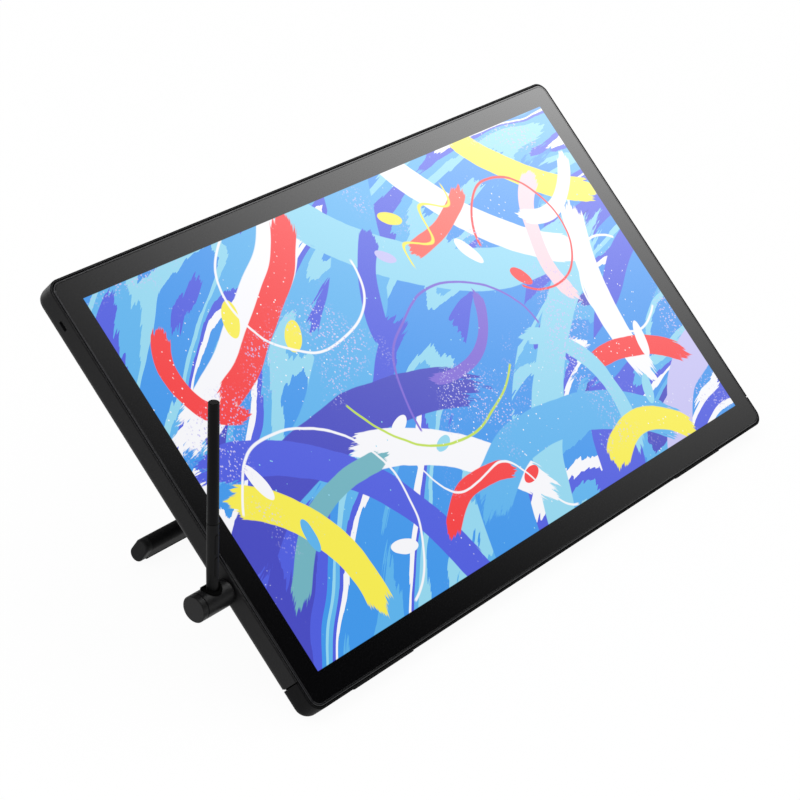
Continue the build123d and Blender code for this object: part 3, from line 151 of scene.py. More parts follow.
# %% A material's node tree
class Paint:
    """A node tree with one output shader, and the one method that adds nodes to it."""

    def __init__(self, name, **finish):
        self.material = bpy.data.materials.new(name)
        self.material.use_nodes = True
        self.tree = self.material.node_tree
        self.shader = self.tree.nodes["Principled BSDF"]
        for socket, value in finish.items():
            self.set(socket.replace("_", " "), value)

    def add(self, kind, settings=None, inputs=None, output=0):
        """Adds a node of that type. Its settings go in first, then the values or links of its sockets."""
        node = self.tree.nodes.new(kind)
        for key, value in (settings or {}).items():
            if key == "stops":
                for _ in range(len(value) - 2):
                    node.color_ramp.elements.new(0.5)
                for element, (place, colour) in zip(node.color_ramp.elements, value):
                    element.position = place
                    element.color = colour
            elif key == "ramp":
                node.color_ramp.interpolation = value
            else:
                setattr(node, key, value)
        for key, value in (inputs or {}).items():
            if isinstance(value, Field):
                self.tree.links.new(value.socket, node.inputs[key])
            else:
                node.inputs[key].default_value = value
        return Field(self, node.outputs[output])

    def set(self, socket, value):
        """Sets or links one socket of the surface shader."""
        if isinstance(value, Field):
            self.tree.links.new(value.socket, self.shader.inputs[socket])
        else:
            self.shader.inputs[socket].default_value = value

    def place(self):
        """The place on the object, in metres."""
        return self.add("ShaderNodeTexCoord", output="Object")

    def join(self, x, y, z=0.0):
        """A vector from three numbers."""
        return self.add("ShaderNodeCombineXYZ", inputs={0: x, 1: y, 2: z})

    def along(self, vector, direction, origin=(0, 0, 0)):
        """How far a place lies from origin along a direction: the dot product less a constant."""
        settings = {"operation": "DOT_PRODUCT"}
        dot = self.add("ShaderNodeVectorMath", settings, {0: vector, 1: direction}, "Value")
        return dot - float(np.dot(direction, origin))

    def noise(self, vector, scale, detail=2.0, rough=0.5):
        """Soft noise from 0 to 1, mostly near one half."""
        inputs = {"Vector": vector, "Scale": scale, "Detail": detail, "Roughness": rough}
        return self.add("ShaderNodeTexNoise", None, inputs, "Fac")

    def cells(self, vector, scale, spread=1.0):
        """Distance to the nearest of many points, in cells. They are scattered where spread is 1
        and stand in a square grid where it is 0."""
        inputs = {"Vector": vector, "Scale": scale, "Randomness": spread}
        return self.add("ShaderNodeTexVoronoi", {"feature": "F1"}, inputs, "Distance")

    def mix(self, share, first, second):
        """The colour first where share is 0, second where it is 1. The node has a set of sockets
        for each kind of value: 6, 7 and output 2 are the colours."""
        settings = {"data_type": "RGBA"}
        return self.add("ShaderNodeMix", settings, {0: share, 6: first, 7: second}, 2)

    def rays(self):
        """What kind of ray meets the surface, as one 0 or 1 for each kind, by name."""
        first = self.add("ShaderNodeLightPath")
        return {socket.name: Field(self, socket) for socket in first.socket.node.outputs}

    def bump(self, height, depth):
        """Turns a height from 0 to 1 into a normal; depth is the real depth in metres."""
        inputs = {"Height": height, "Distance": depth, "Strength": 1.0}
        self.set("Normal", self.add("ShaderNodeBump", None, inputs))


print("a node tree's methods", [name for name in vars(Paint) if not name.startswith("_")])


# %% Colours
def linear(code):
    """A screen colour such as #4a5be0 as linear light: ((c + 0.055) / 1.055) ** 2.4 above the toe."""
    shares = np.array([int(code[i:i + 2], 16) for i in (1, 3, 5)]) / 255
    light = np.where(shares > 0.04045, ((shares + 0.055) / 1.055) ** 2.4, shares / 12.92)
    return (*light.tolist(), 1.0)


def tint(colour, share):
    """The colour made darker or lighter: share times its light."""
    return tuple(share * part for part in colour[:3]) + (1.0,)


white = (1, 1, 1, 1)
finishes = {}
print("royal blue as linear light", np.round(linear("#4a5be0"), 3))

# %% [markdown]
# ## Moulded black plastic
# The case, the rail, the stand and the pen holder are black plastic from a spark-eroded mould.
# That leaves a fine even grain, which scatters light more than a polished face. A picture of the
# grain would blur up close, so it is worked out: fine noise and small pits give the bump, and a
# slow noise shifts colour and gloss a little, as handling does.

# %% Moulded plastic
cloud_scale = 14
dark_share, light_share = 0.55, 1.5
fine_share = 0.6
pit_share = 0.6
wander = 0.1  # how far the gloss drifts


def moulded(name, colour, roughness, grain=0.00045, depth=0.00004, specular=0.5, bend=1.5):
    """Grained plastic: the grain's size and depth are in metres.
    A low bend, the index of refraction, keeps a dull black from turning grey at a glancing angle.
    Colour is a sum of slow and fine noise, bump one of fine noise and pits, in shares of 1 in all."""
    paint = Paint(name, Specular_IOR_Level=specular, IOR=bend)
    place = paint.place()
    cloud = paint.noise(place, cloud_scale, 3)
    fine = paint.noise(place, 1 / grain, 2, 0.6)
    pits = paint.cells(place, pit_share / grain).step(0.1, 0.6)
    dark, light = tint(colour, dark_share), tint(colour, light_share)
    mottle = cloud * (1 - fine_share) + fine.step(0.3, 0.7) * fine_share
    paint.set("Base Color", paint.mix(mottle, dark, light))
    gloss_drift = cloud * wander + fine * (fine_share * wander)
    paint.set("Roughness", gloss_drift + (roughness - (1 + fine_share) / 2 * wander))
    paint.bump(fine * fine_share + pits * (1 - fine_share), depth)
    finishes[name] = paint.material


moulded("case_black", linear("#161617"), 0.52, specular=0.18, bend=1.4)
moulded("rail_black", linear("#0f0f10"), 0.52, specular=0.08, bend=1.35)
moulded("stand_black", linear("#131314"), 0.5, grain=0.0006, depth=0.00005, specular=0.16, bend=1.2)
moulded("cap_black", linear("#1a1a1b"), 0.46, grain=0.0003, depth=0.00002, specular=0.2, bend=1.25)
moulded("holder_black", linear("#111112"), 0.42, grain=0.0003, depth=0.00002, specular=0.18)
moulded("key_black", linear("#131314"), 0.36, grain=0.00025, depth=0.000004, specular=0.35)
moulded("socket_plastic", linear("#131314"), 0.4, grain=0.0002, depth=0.000003, specular=0.35)
moulded("pen_black", linear("#0a0a0b"), 0.34, grain=0.0002, depth=0.000005, specular=0.12, bend=1.35)
moulded("pen_key", linear("#0e0e0f"), 0.42, grain=0.0002, depth=0.000003, specular=0.14, bend=1.35)
moulded("nib_grey", linear("#2a2a2c"), 0.45, grain=0.00015, depth=0.000003, specular=0.35)
moulded("pen_grip", linear("#0e0e0f"), 0.6, grain=0.0003, depth=0.00001, specular=0.14)
moulded("foot_rubber", linear("#080808"), 0.75, grain=0.0007, depth=0.00003, specular=0.06, bend=1.1)
print("plastics", sorted(finishes))

# %% [markdown]
# ## Metals
# Screws, pins, shields and sockets are bare or blackened metal. Bare metal is never even: rolling
# leaves fine lines along one direction, so the noise is stretched that way. The rim is thin metal
# too, but all that shows of it is its smooth black paint, so the plastic's function mixes that
# one, with hardly any grain.


# %% Bare and painted metal
def metal(name, colour, roughness, stretch=(1, 1, 1), scale=900, depth=0.000004, metallic=1.0):
    """Metal whose marks are noise on a stretched place: place * stretch."""
    paint = Paint(name, Metallic=metallic)
    drawn = paint.add("ShaderNodeVectorMath", {"operation": "MULTIPLY"}, {0: paint.place(), 1: stretch})
    lines = paint.noise(drawn, scale, 3, 0.6)
    cloud = paint.noise(paint.place(), 25, 2)
    worn = tint(colour, 0.78)
    line_drift, cloud_drift = 0.16, 0.1
    paint.set("Base Color", paint.mix(lines * 0.5 + cloud * 0.5, worn, colour))
    gloss_drift = lines * line_drift + cloud * cloud_drift
    paint.set("Roughness", gloss_drift + (roughness - (line_drift + cloud_drift) / 2))
    paint.bump(lines, depth)
    finishes[name] = paint.material


moulded("rim_black", linear("#17171a"), 0.18, grain=0.0002, depth=0.0000006)
metal("bare_steel", linear("#a8a9ab"), 0.34, (0.06, 1, 1))
metal("bare_aluminium", linear("#c3c5c8"), 0.4, (0.05, 1, 1))
metal("screw_steel", linear("#9a9b9e"), 0.3, scale=1600)
metal("screw_black", linear("#252526"), 0.38, scale=1800, metallic=0.7)
metal("socket_steel", linear("#b4b5b8"), 0.28, (1, 0.1, 0.1), scale=1500)
metal("insert_brass", linear("#b98f45"), 0.32, (1, 0.2, 0.2), scale=1500)
print("finishes so far", len(finishes))

# %% [markdown]
# ## What is inside
# Boards, cables, sheets and the pen's coil are out of sight on the whole object, but each is a part
# in its own right. A board shows its copper tracks through green lacquer, a flat cable its
# conductors, and a coil its turns: each of these is one repeated pattern along a direction.


# %% Board, cables, sheets and coil
def striped(name, base, line, direction, pitch, share, roughness, above=None):
    """Lines of one width every pitch along a direction: |frac(s / pitch) - 1/2| < share / 2.
    Where above is given, the lines break off wherever a slow noise isn't above it."""
    paint = Paint(name)
    soft_edge = 0.05
    way = paint.along(paint.place(), tuple(direction)) / pitch
    cell = abs(paint.add("ShaderNodeMath", {"operation": "FRACT"}, {0: way}) - 0.5)
    mask = cell.step(share / 2 + soft_edge, share / 2 - soft_edge)
    cloud = paint.noise(paint.place(), 60, 3)
    if above is not None:
        mask = mask * (cloud > above)
    paint.set("Base Color", paint.mix(mask, base, line))
    paint.set("Roughness", cloud * 0.15 + (roughness - 0.07))
    paint.bump(mask, 0.00002)
    finishes[name] = paint.material


striped("board", linear("#12452f"), linear("#2c6b48"), across, 0.0016, 0.45, 0.4, above=0.47)
striped("flat_cable", linear("#d9c58f"), linear("#b3874a"), across, 0.001, 0.55, 0.35)
striped("coil_core", linear("#7b4a24"), linear("#b87333"), pen_dir, 0.0004, 0.7, 0.3)


def sheet_finish(name, colour, roughness, dots):
    """A smooth sheet with a printed grid of fine dots, as a light guide has: so many a metre."""
    paint = Paint(name)
    grid = paint.cells(paint.place(), dots, spread=0.0).step(0.3, 0.22)
    paint.set("Base Color", paint.mix(grid * 0.3, colour, white))
    paint.set("Roughness", grid * 0.2 + roughness)
    finishes[name] = paint.material


sheet_finish("white_sheet", linear("#e6e7ea"), 0.4, 700)
sheet_finish("screen_panel", linear("#1a1c24"), 0.2, 1900)
print("finishes", len(finishes))

# %% [markdown]
# ## The lit screen under etched glass
# On this kind of screen the panel is glued to the glass, so the picture seems to lie on its face.
# Real layers of clear glass would look the same, cost far more light paths and lose their depth on
# export. So the glass is an opaque black face whose middle glows with the picture. Its etched
# gloss is broad and soft: a softbox on the right fades across it from one corner to the other.
#
# The picture is an abstract of painted arcs, petals and dots, in a layout of its own. Everything is
# measured in screen heights from the screen's middle: s to the right and t upwards.

# %% Screen sizes and colours
screen_size = (0.52685, 0.29635)
screen_raise = 0.001575  # the screen's middle, up the slab from the slab's own
screen_middle = on_slab(0, screen_raise, 0)
palette = {
    "royal": linear("#4557e2"), "deep": linear("#3a3fc4"), "sky": linear("#2f97ee"),
    "azure": linear("#55b4f0"), "ice": linear("#93d9f2"), "white": linear("#fbfbff"),
    "red": linear("#f92c2f"), "coral": linear("#ff5a4c"), "yellow": linear("#fbf046"),
    "lilac": linear("#c9c5f5"), "teal": linear("#6db4c2"), "blush": linear("#ffd9e2"),
    "violet": linear("#7c62d8"), "lime": linear("#c4e24a"),
}
print("colours", len(palette))

# %% [markdown]
# A painted mark could be a mesh lying on the glass, but then the picture would have thickness and
# edges. Here each mark is a mask, a field that is 1 inside the mark, and it mixes its colour over
# what was there before. So the marks are laid in order, as on paper.


# %% Marks that the picture is made of
class Picture:
    """A colour over the plane (s, t) that marks are laid on, one over another."""

    def __init__(self, paint, s, t, colour):
        self.paint, self.s, self.t, self.colour = paint, s, t, colour

    def turned(self, x, y, angle):
        """The place seen from (x, y) with its first axis turned to the angle, in degrees."""
        c, d = math.cos(math.radians(angle)), math.sin(math.radians(angle))
        first = self.s * c + self.t * d - (x * c + y * d)
        second = self.t * c - self.s * d - (y * c - x * d)
        return first, second

    def lay(self, mask, name):
        self.colour = self.paint.mix(mask, self.colour, palette[name])

    def arc(self, name, x, y, radius, middle, span, half, dry):
        """A brush stroke along a circle about (x, y): |distance - radius| < half, and the turn from
        the stroke's middle under span / 2. A dry brush leaves streaks: noise drawn out along the
        stroke breaks it up towards its ends and edges. The third place in the noise only gives
        each stroke streaks of its own."""
        first, second = self.turned(x, y, middle)
        flat = self.paint.join(first, second)
        rho = self.paint.add("ShaderNodeVectorMath", {"operation": "LENGTH"}, {0: flat}, "Value")
        turn = self.paint.add("ShaderNodeMath", {"operation": "ARCTAN2"}, {0: second, 1: first})
        along = abs(turn) / math.radians(span / 2)
        off = abs(rho - radius) / half
        soft_edge = 0.0015 / half
        if dry:
            drawn = self.paint.join(rho * (5.5 / half ** 0.5), turn * (2.5 * radius), radius + middle)
            streak = self.paint.noise(drawn, 4, 3, 0.65)
            reach = 1.25 - along ** 2 - off * 0.32 + (streak - 0.5) * (2.2 * dry)
            length = reach.step(0.22, 0.3)
        else:
            length = (1 - along).step(0, 0.02)
        self.lay(length * off.step(1 + soft_edge, 1 - soft_edge), name)

    def petal(self, name, x, y, long, short, angle):
        """An oval: (first / long)^2 + (second / short)^2 < 1."""
        soft_edge = 0.06
        first, second = self.turned(x, y, angle)
        size = (first / long) ** 2.0 + (second / short) ** 2.0
        self.lay(size.step(1 + soft_edge, 1 - soft_edge), name)

    def wave(self, name, x, y, angle, length, rise, turns, half):
        """A thin line on a sine: |second - rise sin(turns first)| < half, for |first| < length."""
        soft_end = 0.01
        first, second = self.turned(x, y, angle)
        sine = self.paint.add("ShaderNodeMath", {"operation": "SINE"}, {0: first * turns})
        near = abs(second - sine * rise).step(half * 1.5, half * 0.6)
        self.lay(near * abs(first).step(length, length - soft_end), name)

    def speckle(self, name, scale, size, where, low, high):
        """Small dots at scattered points, which fade in as a field goes from low to high."""
        flat = self.paint.join(self.s, self.t)
        near = self.paint.cells(flat, scale)
        self.lay(near.step(size * 1.3, size * 0.7) * where.step(low, high), name)


print("marks", [name for name in vars(Picture) if not name.startswith("_")])

# %% [markdown]
# A hand never draws a true circle. Before any mark is laid, s and t are pushed about by a slow sway
# and a small quick tremor, so that every edge wavers as paint does. The ground under the marks is
# a slow noise cut into flat bands of colour, drawn out along a bent direction like poured paint.

# %% The place on the picture
glass = Paint("cover_glass", Roughness=0.1, Specular_IOR_Level=0.5)
spot = glass.place()
s_raw = glass.along(spot, (1, 0, 0)) / screen_size[1]
t_raw = glass.along(spot, tuple(up_slab), tuple(screen_middle)) / screen_size[1]
ground = glass.join(s_raw, t_raw)
sway = glass.noise(ground, 1.7, 2) - 0.5
tremor = glass.noise(ground, 9, 3) - 0.5
sway_s, sway_t, tremor_size = 0.12, -0.09, 0.010
s_field = s_raw + sway * sway_s + tremor * tremor_size
t_field = t_raw + sway * sway_t + tremor * tremor_size
picture = Picture(glass, s_field, t_field, palette["sky"])
print("nodes for the place", len(glass.tree.nodes))

# %% Flowing ground of the picture
ground_turn, ground_bend = 27, 0.22
run, rise = picture.turned(0.0, 0.0, ground_turn)
rise = rise + run * run * ground_bend
hairs = glass.noise(glass.join(run * 3.0, rise * 95), 1.0, 2, 0.6) - 0.5
flow = glass.noise(glass.join(run * 0.62, rise * 2.6, 4.3), 1.7, 1.5, 0.55)
shade = flow + hairs * 0.035 + glass.noise(glass.join(run * 4, rise * 7), 1.0, 1) * 0.03
stops = [
    (0.0, "deep"), (0.33, "royal"), (0.40, "sky"), (0.455, "ice"), (0.485, "azure"), (0.52, "royal"),
    (0.55, "white"), (0.575, "sky"), (0.62, "azure"), (0.66, "deep"), (0.70, "lilac"),
]
picture.colour = glass.add(
    "ShaderNodeValToRGB",
    {"ramp": "CONSTANT", "stops": [(place, palette[name]) for place, name in stops]},
    {"Fac": shade},
)
print("colours of the ground", len(stops))

# %% [markdown]
# The marks themselves are short tables, one row for each. For a stroke the row gives its colour,
# its circle's centre and radius, where its middle lies on the circle and how far it spans, both in
# degrees, and half its width. For a petal it gives colour, centre, half length, half width and turn.

# %% Broad strokes
broad = [
    ("sky", 1.35, -1.15, 1.62, 142, 62, 0.085), ("ice", 1.30, -1.20, 1.42, 138, 58, 0.050),
    ("royal", 1.38, -1.10, 1.20, 140, 84, 0.075), ("white", -1.10, 1.20, 1.12, -48, 66, 0.060),
    ("azure", -1.15, 1.15, 1.36, -42, 60, 0.080), ("lilac", 1.30, -1.25, 1.02, 128, 60, 0.045),
    ("deep", -0.35, -1.05, 1.02, 96, 64, 0.060), ("ice", 0.55, 1.05, 0.92, -112, 72, 0.060),
    ("sky", 0.30, 0.95, 1.18, -60, 50, 0.060), ("white", -0.60, -0.95, 0.86, 58, 46, 0.050),
    ("white", 0.95, 0.85, 0.80, -140, 66, 0.045), ("royal", -0.90, -0.60, 0.62, 46, 90, 0.045),
    ("azure", 0.20, -0.95, 0.66, 84, 80, 0.055), ("white", 1.25, -0.15, 0.60, 170, 56, 0.045),
]
for name, x, y, radius, middle, span, half in broad:
    picture.arc(name, x, y, radius, middle, span, half, dry=0.45)
print("broad strokes", len(broad))

# %% Bright strokes, petals, lines and dots
bright = [
    ("red", -0.95, 0.95, 0.86, -52, 44, 0.036), ("yellow", 1.15, 0.95, 0.78, -128, 40, 0.040),
    ("red", 0.52, -0.72, 0.52, 72, 46, 0.030), ("teal", -0.42, -0.70, 0.56, 112, 60, 0.026),
    ("coral", 0.10, 0.78, 0.50, -70, 38, 0.024), ("yellow", -0.98, -0.40, 0.36, 30, 84, 0.044),
    ("blush", 0.78, 0.10, 0.24, 160, 110, 0.026), ("ice", 0.24, -0.30, 0.26, 20, 120, 0.026),
    ("red", -0.64, 0.24, 0.15, 200, 150, 0.026), ("yellow", 0.50, -0.62, 0.22, 84, 110, 0.034),
    ("violet", 0.02, 0.14, 0.20, -60, 120, 0.018), ("white", 0.66, 0.42, 0.20, -70, 110, 0.022),
    ("red", -0.10, -0.62, 0.30, 100, 70, 0.024), ("royal", 0.16, 0.10, 0.30, 150, 70, 0.030),
]
for name, x, y, radius, middle, span, half in bright:
    picture.arc(name, x, y, radius, middle, span, half, dry=0.3)
petals = [
    ("yellow", -0.52, 0.30, 0.052, 0.024, 62), ("yellow", -0.38, 0.20, 0.046, 0.021, 50),
    ("white", -0.26, -0.10, 0.040, 0.017, 24), ("ice", -0.15, -0.20, 0.034, 0.016, 12),
    ("white", 0.30, 0.22, 0.048, 0.020, 118), ("red", 0.42, 0.10, 0.042, 0.020, 132),
    ("yellow", 0.12, 0.38, 0.040, 0.018, -24), ("lilac", 0.02, 0.30, 0.036, 0.016, -38),
    ("white", 0.72, -0.22, 0.055, 0.022, 70), ("ice", 0.62, -0.34, 0.044, 0.018, 58),
    ("white", -0.74, -0.06, 0.050, 0.020, 100), ("azure", -0.70, -0.22, 0.040, 0.017, 84),
    ("red", 0.06, -0.38, 0.036, 0.015, 8), ("white", -0.46, -0.36, 0.046, 0.020, -18),
]
for mark in petals:
    picture.petal(*mark)
thin = [
    ("white", -0.30, 0.34, 0.20, 210, 300), ("red", 0.52, 0.20, 0.17, 20, 310),
    ("violet", 0.10, -0.12, 0.30, 100, 170), ("white", -0.62, -0.24, 0.26, 40, 220),
    ("lime", -0.05, 0.12, 0.34, -100, 120), ("white", 0.76, -0.05, 0.15, 180, 260),
]
thin_half = 0.0034
for name, x, y, radius, middle, span in thin:
    picture.arc(name, x, y, radius, middle, span, thin_half, dry=0)
waves = [
    ("yellow", 0.22, 0.33, 30, 0.16, 0.035, 42, 0.0045),
    ("white", -0.10, -0.32, -28, 0.30, 0.05, 17, 0.003),
]
for mark in waves:
    picture.wave(*mark)
field = glass.noise(ground, 2.3, 2)
picture.speckle("white", 60, 0.12, field, 0.52, 0.6)
picture.speckle("lilac", 130, 0.30, glass.noise(ground, 3.1, 2), 0.54, 0.66)
picture.speckle("ice", 34, 0.07, field, 0.5, 0.42)
print("marks", len(broad) + len(bright) + len(petals) + len(thin) + len(waves))

# %% [markdown]
# The glass outside the picture is printed black from behind. The picture's edge is one smooth
# step, about half a millimetre wide, so that it never shows as teeth. The etched face scatters a
# little of the room's light, which pales the picture in fine grains.

# %% Glass finish
border = 0.0008
half_wide = screen_size[0] / screen_size[1] / 2
inside = abs(s_raw).step(half_wide + border, half_wide - border)
inside = inside * abs(t_raw).step(0.5 + border, 0.5 - border)
etch_scale, etch_share = 5200, 0.06
grain = glass.noise(spot, etch_scale, 2, 0.7)
pale = glass.mix(grain * etch_share, picture.colour, white)
glass.set("Emission Color", glass.mix(inside, (0, 0, 0, 1), pale))
glass.set("Emission Strength", 0.93)
glass.set("Base Color", glass.mix(inside * 0.5 + grain * 0.1, linear("#030304"), linear("#08080a")))
glass.bump(grain, 0.0000012)
finishes["cover_glass"] = glass.material
print("glass nodes", len(glass.tree.nodes))

# %% [markdown]
# ## Giving each part its finish
# Each CAD part came in with one plain material that is named after its slot in the record. The
# finishes above have the same names, so one loop hands them out and nothing is missed.

# %% Hand out the finishes
for name, node in sorted(frame["nodes"].items()):
    for index, old in enumerate(node.data.materials):
        node.data.materials[index] = finishes[old.name.split(".")[0]]
print("parts dressed", len(frame["nodes"]))

# %% [markdown]
# ## Small pieces that the CAD model leaves out
# Each of these is a grid of points worked out in one go: a ring of points is carried along a path,
# and the same helper skins any such grid. It also turns the faces outwards, by the sign of the
# volume that they enclose, so that no piece comes out inside out. Only the flat caps stay sharp.


# %% Skinning a grid of points
def shell(name, grids, body, finish, loop=False):
    """Skins grids of points, count x rows x columns x 3. Columns close round each ring. Rows close
    too where loop is set, and end in flat caps elsewhere. Volume = sum of p0 . (p1 x p2) / 6."""
    grids = np.asarray(grids, float)
    count, rows, columns, _ = grids.shape
    row = np.arange(rows if loop else rows - 1)[:, None]
    column = np.arange(columns)[None, :]
    beside, after = (column + 1) % columns, (row + 1) % rows
    corners = [
        row * columns + column, row * columns + beside,
        after * columns + beside, after * columns + column,
    ]
    quads = np.stack(np.broadcast_arrays(*corners), -1).reshape(-1, 4)
    caps = np.zeros((0, columns), int)
    if not loop:
        ring = np.arange(columns)
        caps = np.stack([ring[::-1], ring + (rows - 1) * columns])
    flat = (grids[0] - grids[0].mean((0, 1))).reshape(-1, 3)
    first, second, third = flat[quads[:, 0]], flat[quads[:, 1]], flat[quads[:, 2]]
    fourth = flat[quads[:, 3]]
    volume = (first * np.cross(second, third)).sum() + (first * np.cross(third, fourth)).sum()
    for cap in caps:
        fan = flat[cap]
        volume += (fan[0] * np.cross(fan[1:-1], fan[2:])).sum()
    if volume < 0:
        quads, caps = quads[:, ::-1], caps[:, ::-1]
    shift = (np.arange(count) * rows * columns)[:, None, None]
    faces = (quads[None] + shift).reshape(-1, 4).tolist()
    faces += (caps[None] + shift).reshape(-1, columns).tolist()
    mesh = bpy.data.meshes.new(name)
    mesh.from_pydata(grids.reshape(-1, 3).tolist(), [], faces)
    smooth = np.arange(len(faces)) < count * len(quads)
    mesh.polygons.foreach_set("use_smooth", smooth)
    mesh.materials.append(finish)
    mesh.update()
    made = bpy.data.objects.new(name, mesh)
    bpy.context.scene.collection.objects.link(made)
    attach(made, body)
    print(name, "faces", len(faces))
    return made


def around(points):
    """The angles of points spaced evenly round a whole turn, as one row."""
    return np.linspace(0, 2 * np.pi, points, endpoint=False)[None, :]


# %% [markdown]
# ## A black foam line round the glass, as painted shade
# Between the case's lip and the thin rim runs a groove, which shows as a fine black line. A string of
# black foam at the groove's bottom is painted shade: it darkens the groove as the shade inside it
# would. It could be a torus bent round by modifiers, but a small ring of points carried round a
# rounded rectangle gives the exact corners, and it closes on itself.

# %% Black foam line in the groove, as painted shade
half_slab = (0.284225, 0.1695)
slab_corner = 0.010
line_inset = 0.00185
line_radius = 0.00033
line_w = -0.00112


def rounded_path(inset, steps):
    """The slab's outline, set in: about each corner's centre, centre + reach (cos, sin) through a
    quarter turn. Gives the points' x and v and their outward directions, one row for each."""
    turn = np.radians(np.linspace(0, 90, steps + 1)[None, :] + np.arange(4)[:, None] * 90)
    side_x = np.array([1, -1, -1, 1])[:, None] * (half_slab[0] - slab_corner)
    side_v = np.array([1, 1, -1, -1])[:, None] * (half_slab[1] - slab_corner)
    reach = slab_corner - inset
    out_x, out_v = np.cos(turn), np.sin(turn)
    rows = (side_x + reach * out_x, side_v + reach * out_v, out_x, out_v)
    return [part.ravel()[:, None] for part in rows]


path_x, path_v, out_x, out_v = rounded_path(line_inset, 12)
ring = around(10)
groove_shade_line = on_slab(
    path_x + line_radius * np.cos(ring) * out_x,
    path_v + line_radius * np.cos(ring) * out_v,
    line_w + line_radius * np.sin(ring),
)
# painted shade: this black foam string darkens the groove where its own shade falls
shell("groove_shade_foam", [groove_shade_line], "display", finishes["foot_rubber"], loop=True)

# %% [markdown]
# ## Seals in the seam at each side
# The lower rail is a part of its own, and a slit of nearly a millimetre parts it from the case.
# Its rear end is open, as the photograph shows, and from there to the glass it is dark: a pad of
# black foam sits just inside. Each pad is a rounded block, a squarish ring carried through the
# slab. A circle's cosine and sine, each raised to a low power with its sign kept, give the ring.

# %% Seam pads
seam_middle = -0.1455
pad_half = (0.00055, 0.00044)
pad_from, pad_to = -0.0148, -0.0009
pad_x = 0.28285
square_power = 0.4
turn = around(16)
oval_x = np.sign(np.cos(turn)) * np.abs(np.cos(turn)) ** square_power * pad_half[0]
oval_v = np.sign(np.sin(turn)) * np.abs(np.sin(turn)) ** square_power * pad_half[1]
share = np.linspace(0, 1, 13)[:, None]
pad_w = pad_from + share * (pad_to - pad_from)
# full size but for the ends, which draw in to the root of a half, about 0.7 of it
swell = np.minimum(1, np.sqrt(np.sin(np.pi * share) * 6 + 0.5))
for label, side in (("left", -1), ("right", 1)):
    pad = on_slab(side * pad_x + oval_x * swell, seam_middle + oval_v * swell, pad_w)
    shell("seam_pad_" + label, [pad], "display", finishes["foot_rubber"])

# %% [markdown]
# ## Dust cloth behind the vents
# Behind the two rows of vent slots lies a woven dust cloth, as cases with open vents have. A plain
# weave is a chequer of small hills and hollows, so its height is the product of two cosines. The
# sheet has a top and a bottom a quarter of a millimetre apart, and each row of its grid is a
# closed ring: out along the top and back along the bottom.

# %% Woven dust cloth
cloth_paint = Paint("dust_cloth", Specular_IOR_Level=0.2)
threads = cloth_paint.noise(cloth_paint.place(), 2500, 2)
cloth_paint.set("Base Color", cloth_paint.mix(threads, linear("#161617"), linear("#2a2a2b")))
cloth_paint.set("Roughness", threads * 0.2 + 0.6)
cloth_paint.bump(threads, 0.00003)
vent_middle = (0.1502, 0.1315)
cloth_half = (0.0755, 0.0105)
weave_pitch, weave_height, cloth_thick = 0.0015, 0.00024, 0.00025
cloth_w = -0.01815
cloth_points = [round(2 * half * 3 / weave_pitch) + 1 for half in cloth_half]  # three steps to a thread
row_x = np.linspace(-cloth_half[0], cloth_half[0], cloth_points[0])[:, None]
col_v = np.linspace(-cloth_half[1], cloth_half[1], cloth_points[1])[None, :]
hills = weave_height * np.cos(np.pi * row_x / weave_pitch) * np.cos(np.pi * col_v / weave_pitch)
both_v = np.concatenate([col_v, col_v[:, ::-1]], 1)
both_w = np.concatenate([cloth_w + hills, cloth_w - cloth_thick + hills[:, ::-1]], 1)
for label, side in (("left", -1), ("right", 1)):
    cloth = on_slab(side * vent_middle[0] + row_x, vent_middle[1] + both_v, both_w)
    shell("dust_cloth_" + label, [cloth], "display", cloth_paint.material)

# %% [markdown]
# ## Contacts in the sockets
# Inside the picture socket and the two data sockets a flat tongue carries a row of gold springs on
# each face. Each spring is a low rounded bar with tapered ends. All the springs of one face are
# one array, so a whole row costs one call.

# %% Gold contacts
metal("contact_gold", linear("#d8a548"), 0.25, (1, 0.2, 0.2), scale=3000, depth=0.000001)
mouth_v = -0.0572
tongue_half = 0.0005
spring_half, spring_rise, spring_sink = 0.00017, 0.00012, 0.00008
spring_from, spring_length = 0.0011, 0.0034
arch = np.linspace(0, np.pi, 7)
profile_x = np.append(np.cos(arch), [-1.0, 1.0]) * spring_half
profile_w = np.append(np.sin(arch) * spring_rise, [-spring_sink, -spring_sink])
lengths = np.array([0, 0.06, 0.2, 0.8, 0.94, 1.0])[:, None]
taper = np.array([0.35, 0.8, 1, 1, 0.8, 0.35])[:, None]
sockets = [
    ("video", 0.0, -0.0159, 9, 0.00098),
    ("data_left", 0.0138, -0.0149, 8, 0.00066),
    ("data_right", 0.0264, -0.0149, 8, 0.00066),
]
for label, x, w, springs, pitch in sockets:
    offsets = ((np.arange(springs) - (springs - 1) / 2) * pitch)[:, None, None]
    for side, face in (("front", 1), ("back", -1)):
        row = on_slab(
            x + offsets + profile_x * taper,
            mouth_v + spring_from + lengths * spring_length,
            w + face * (tongue_half + profile_w * taper),
        )
        name = "contacts_" + label + "_" + side
        shell(name, row, "display", finishes["contact_gold"])

# %% [markdown]
# ## The pen's nib
# A plastic nib is a rod with a rounded tip. Behind the nose it narrows to a stem, which clears
# the switches inside the pen when they are pressed. It is a turned shape: each row of its grid is
# a circle about the pen's axis, with its radius read from a short profile. The profile's rows give
# the height above the tip and the radius there, in millimetres.

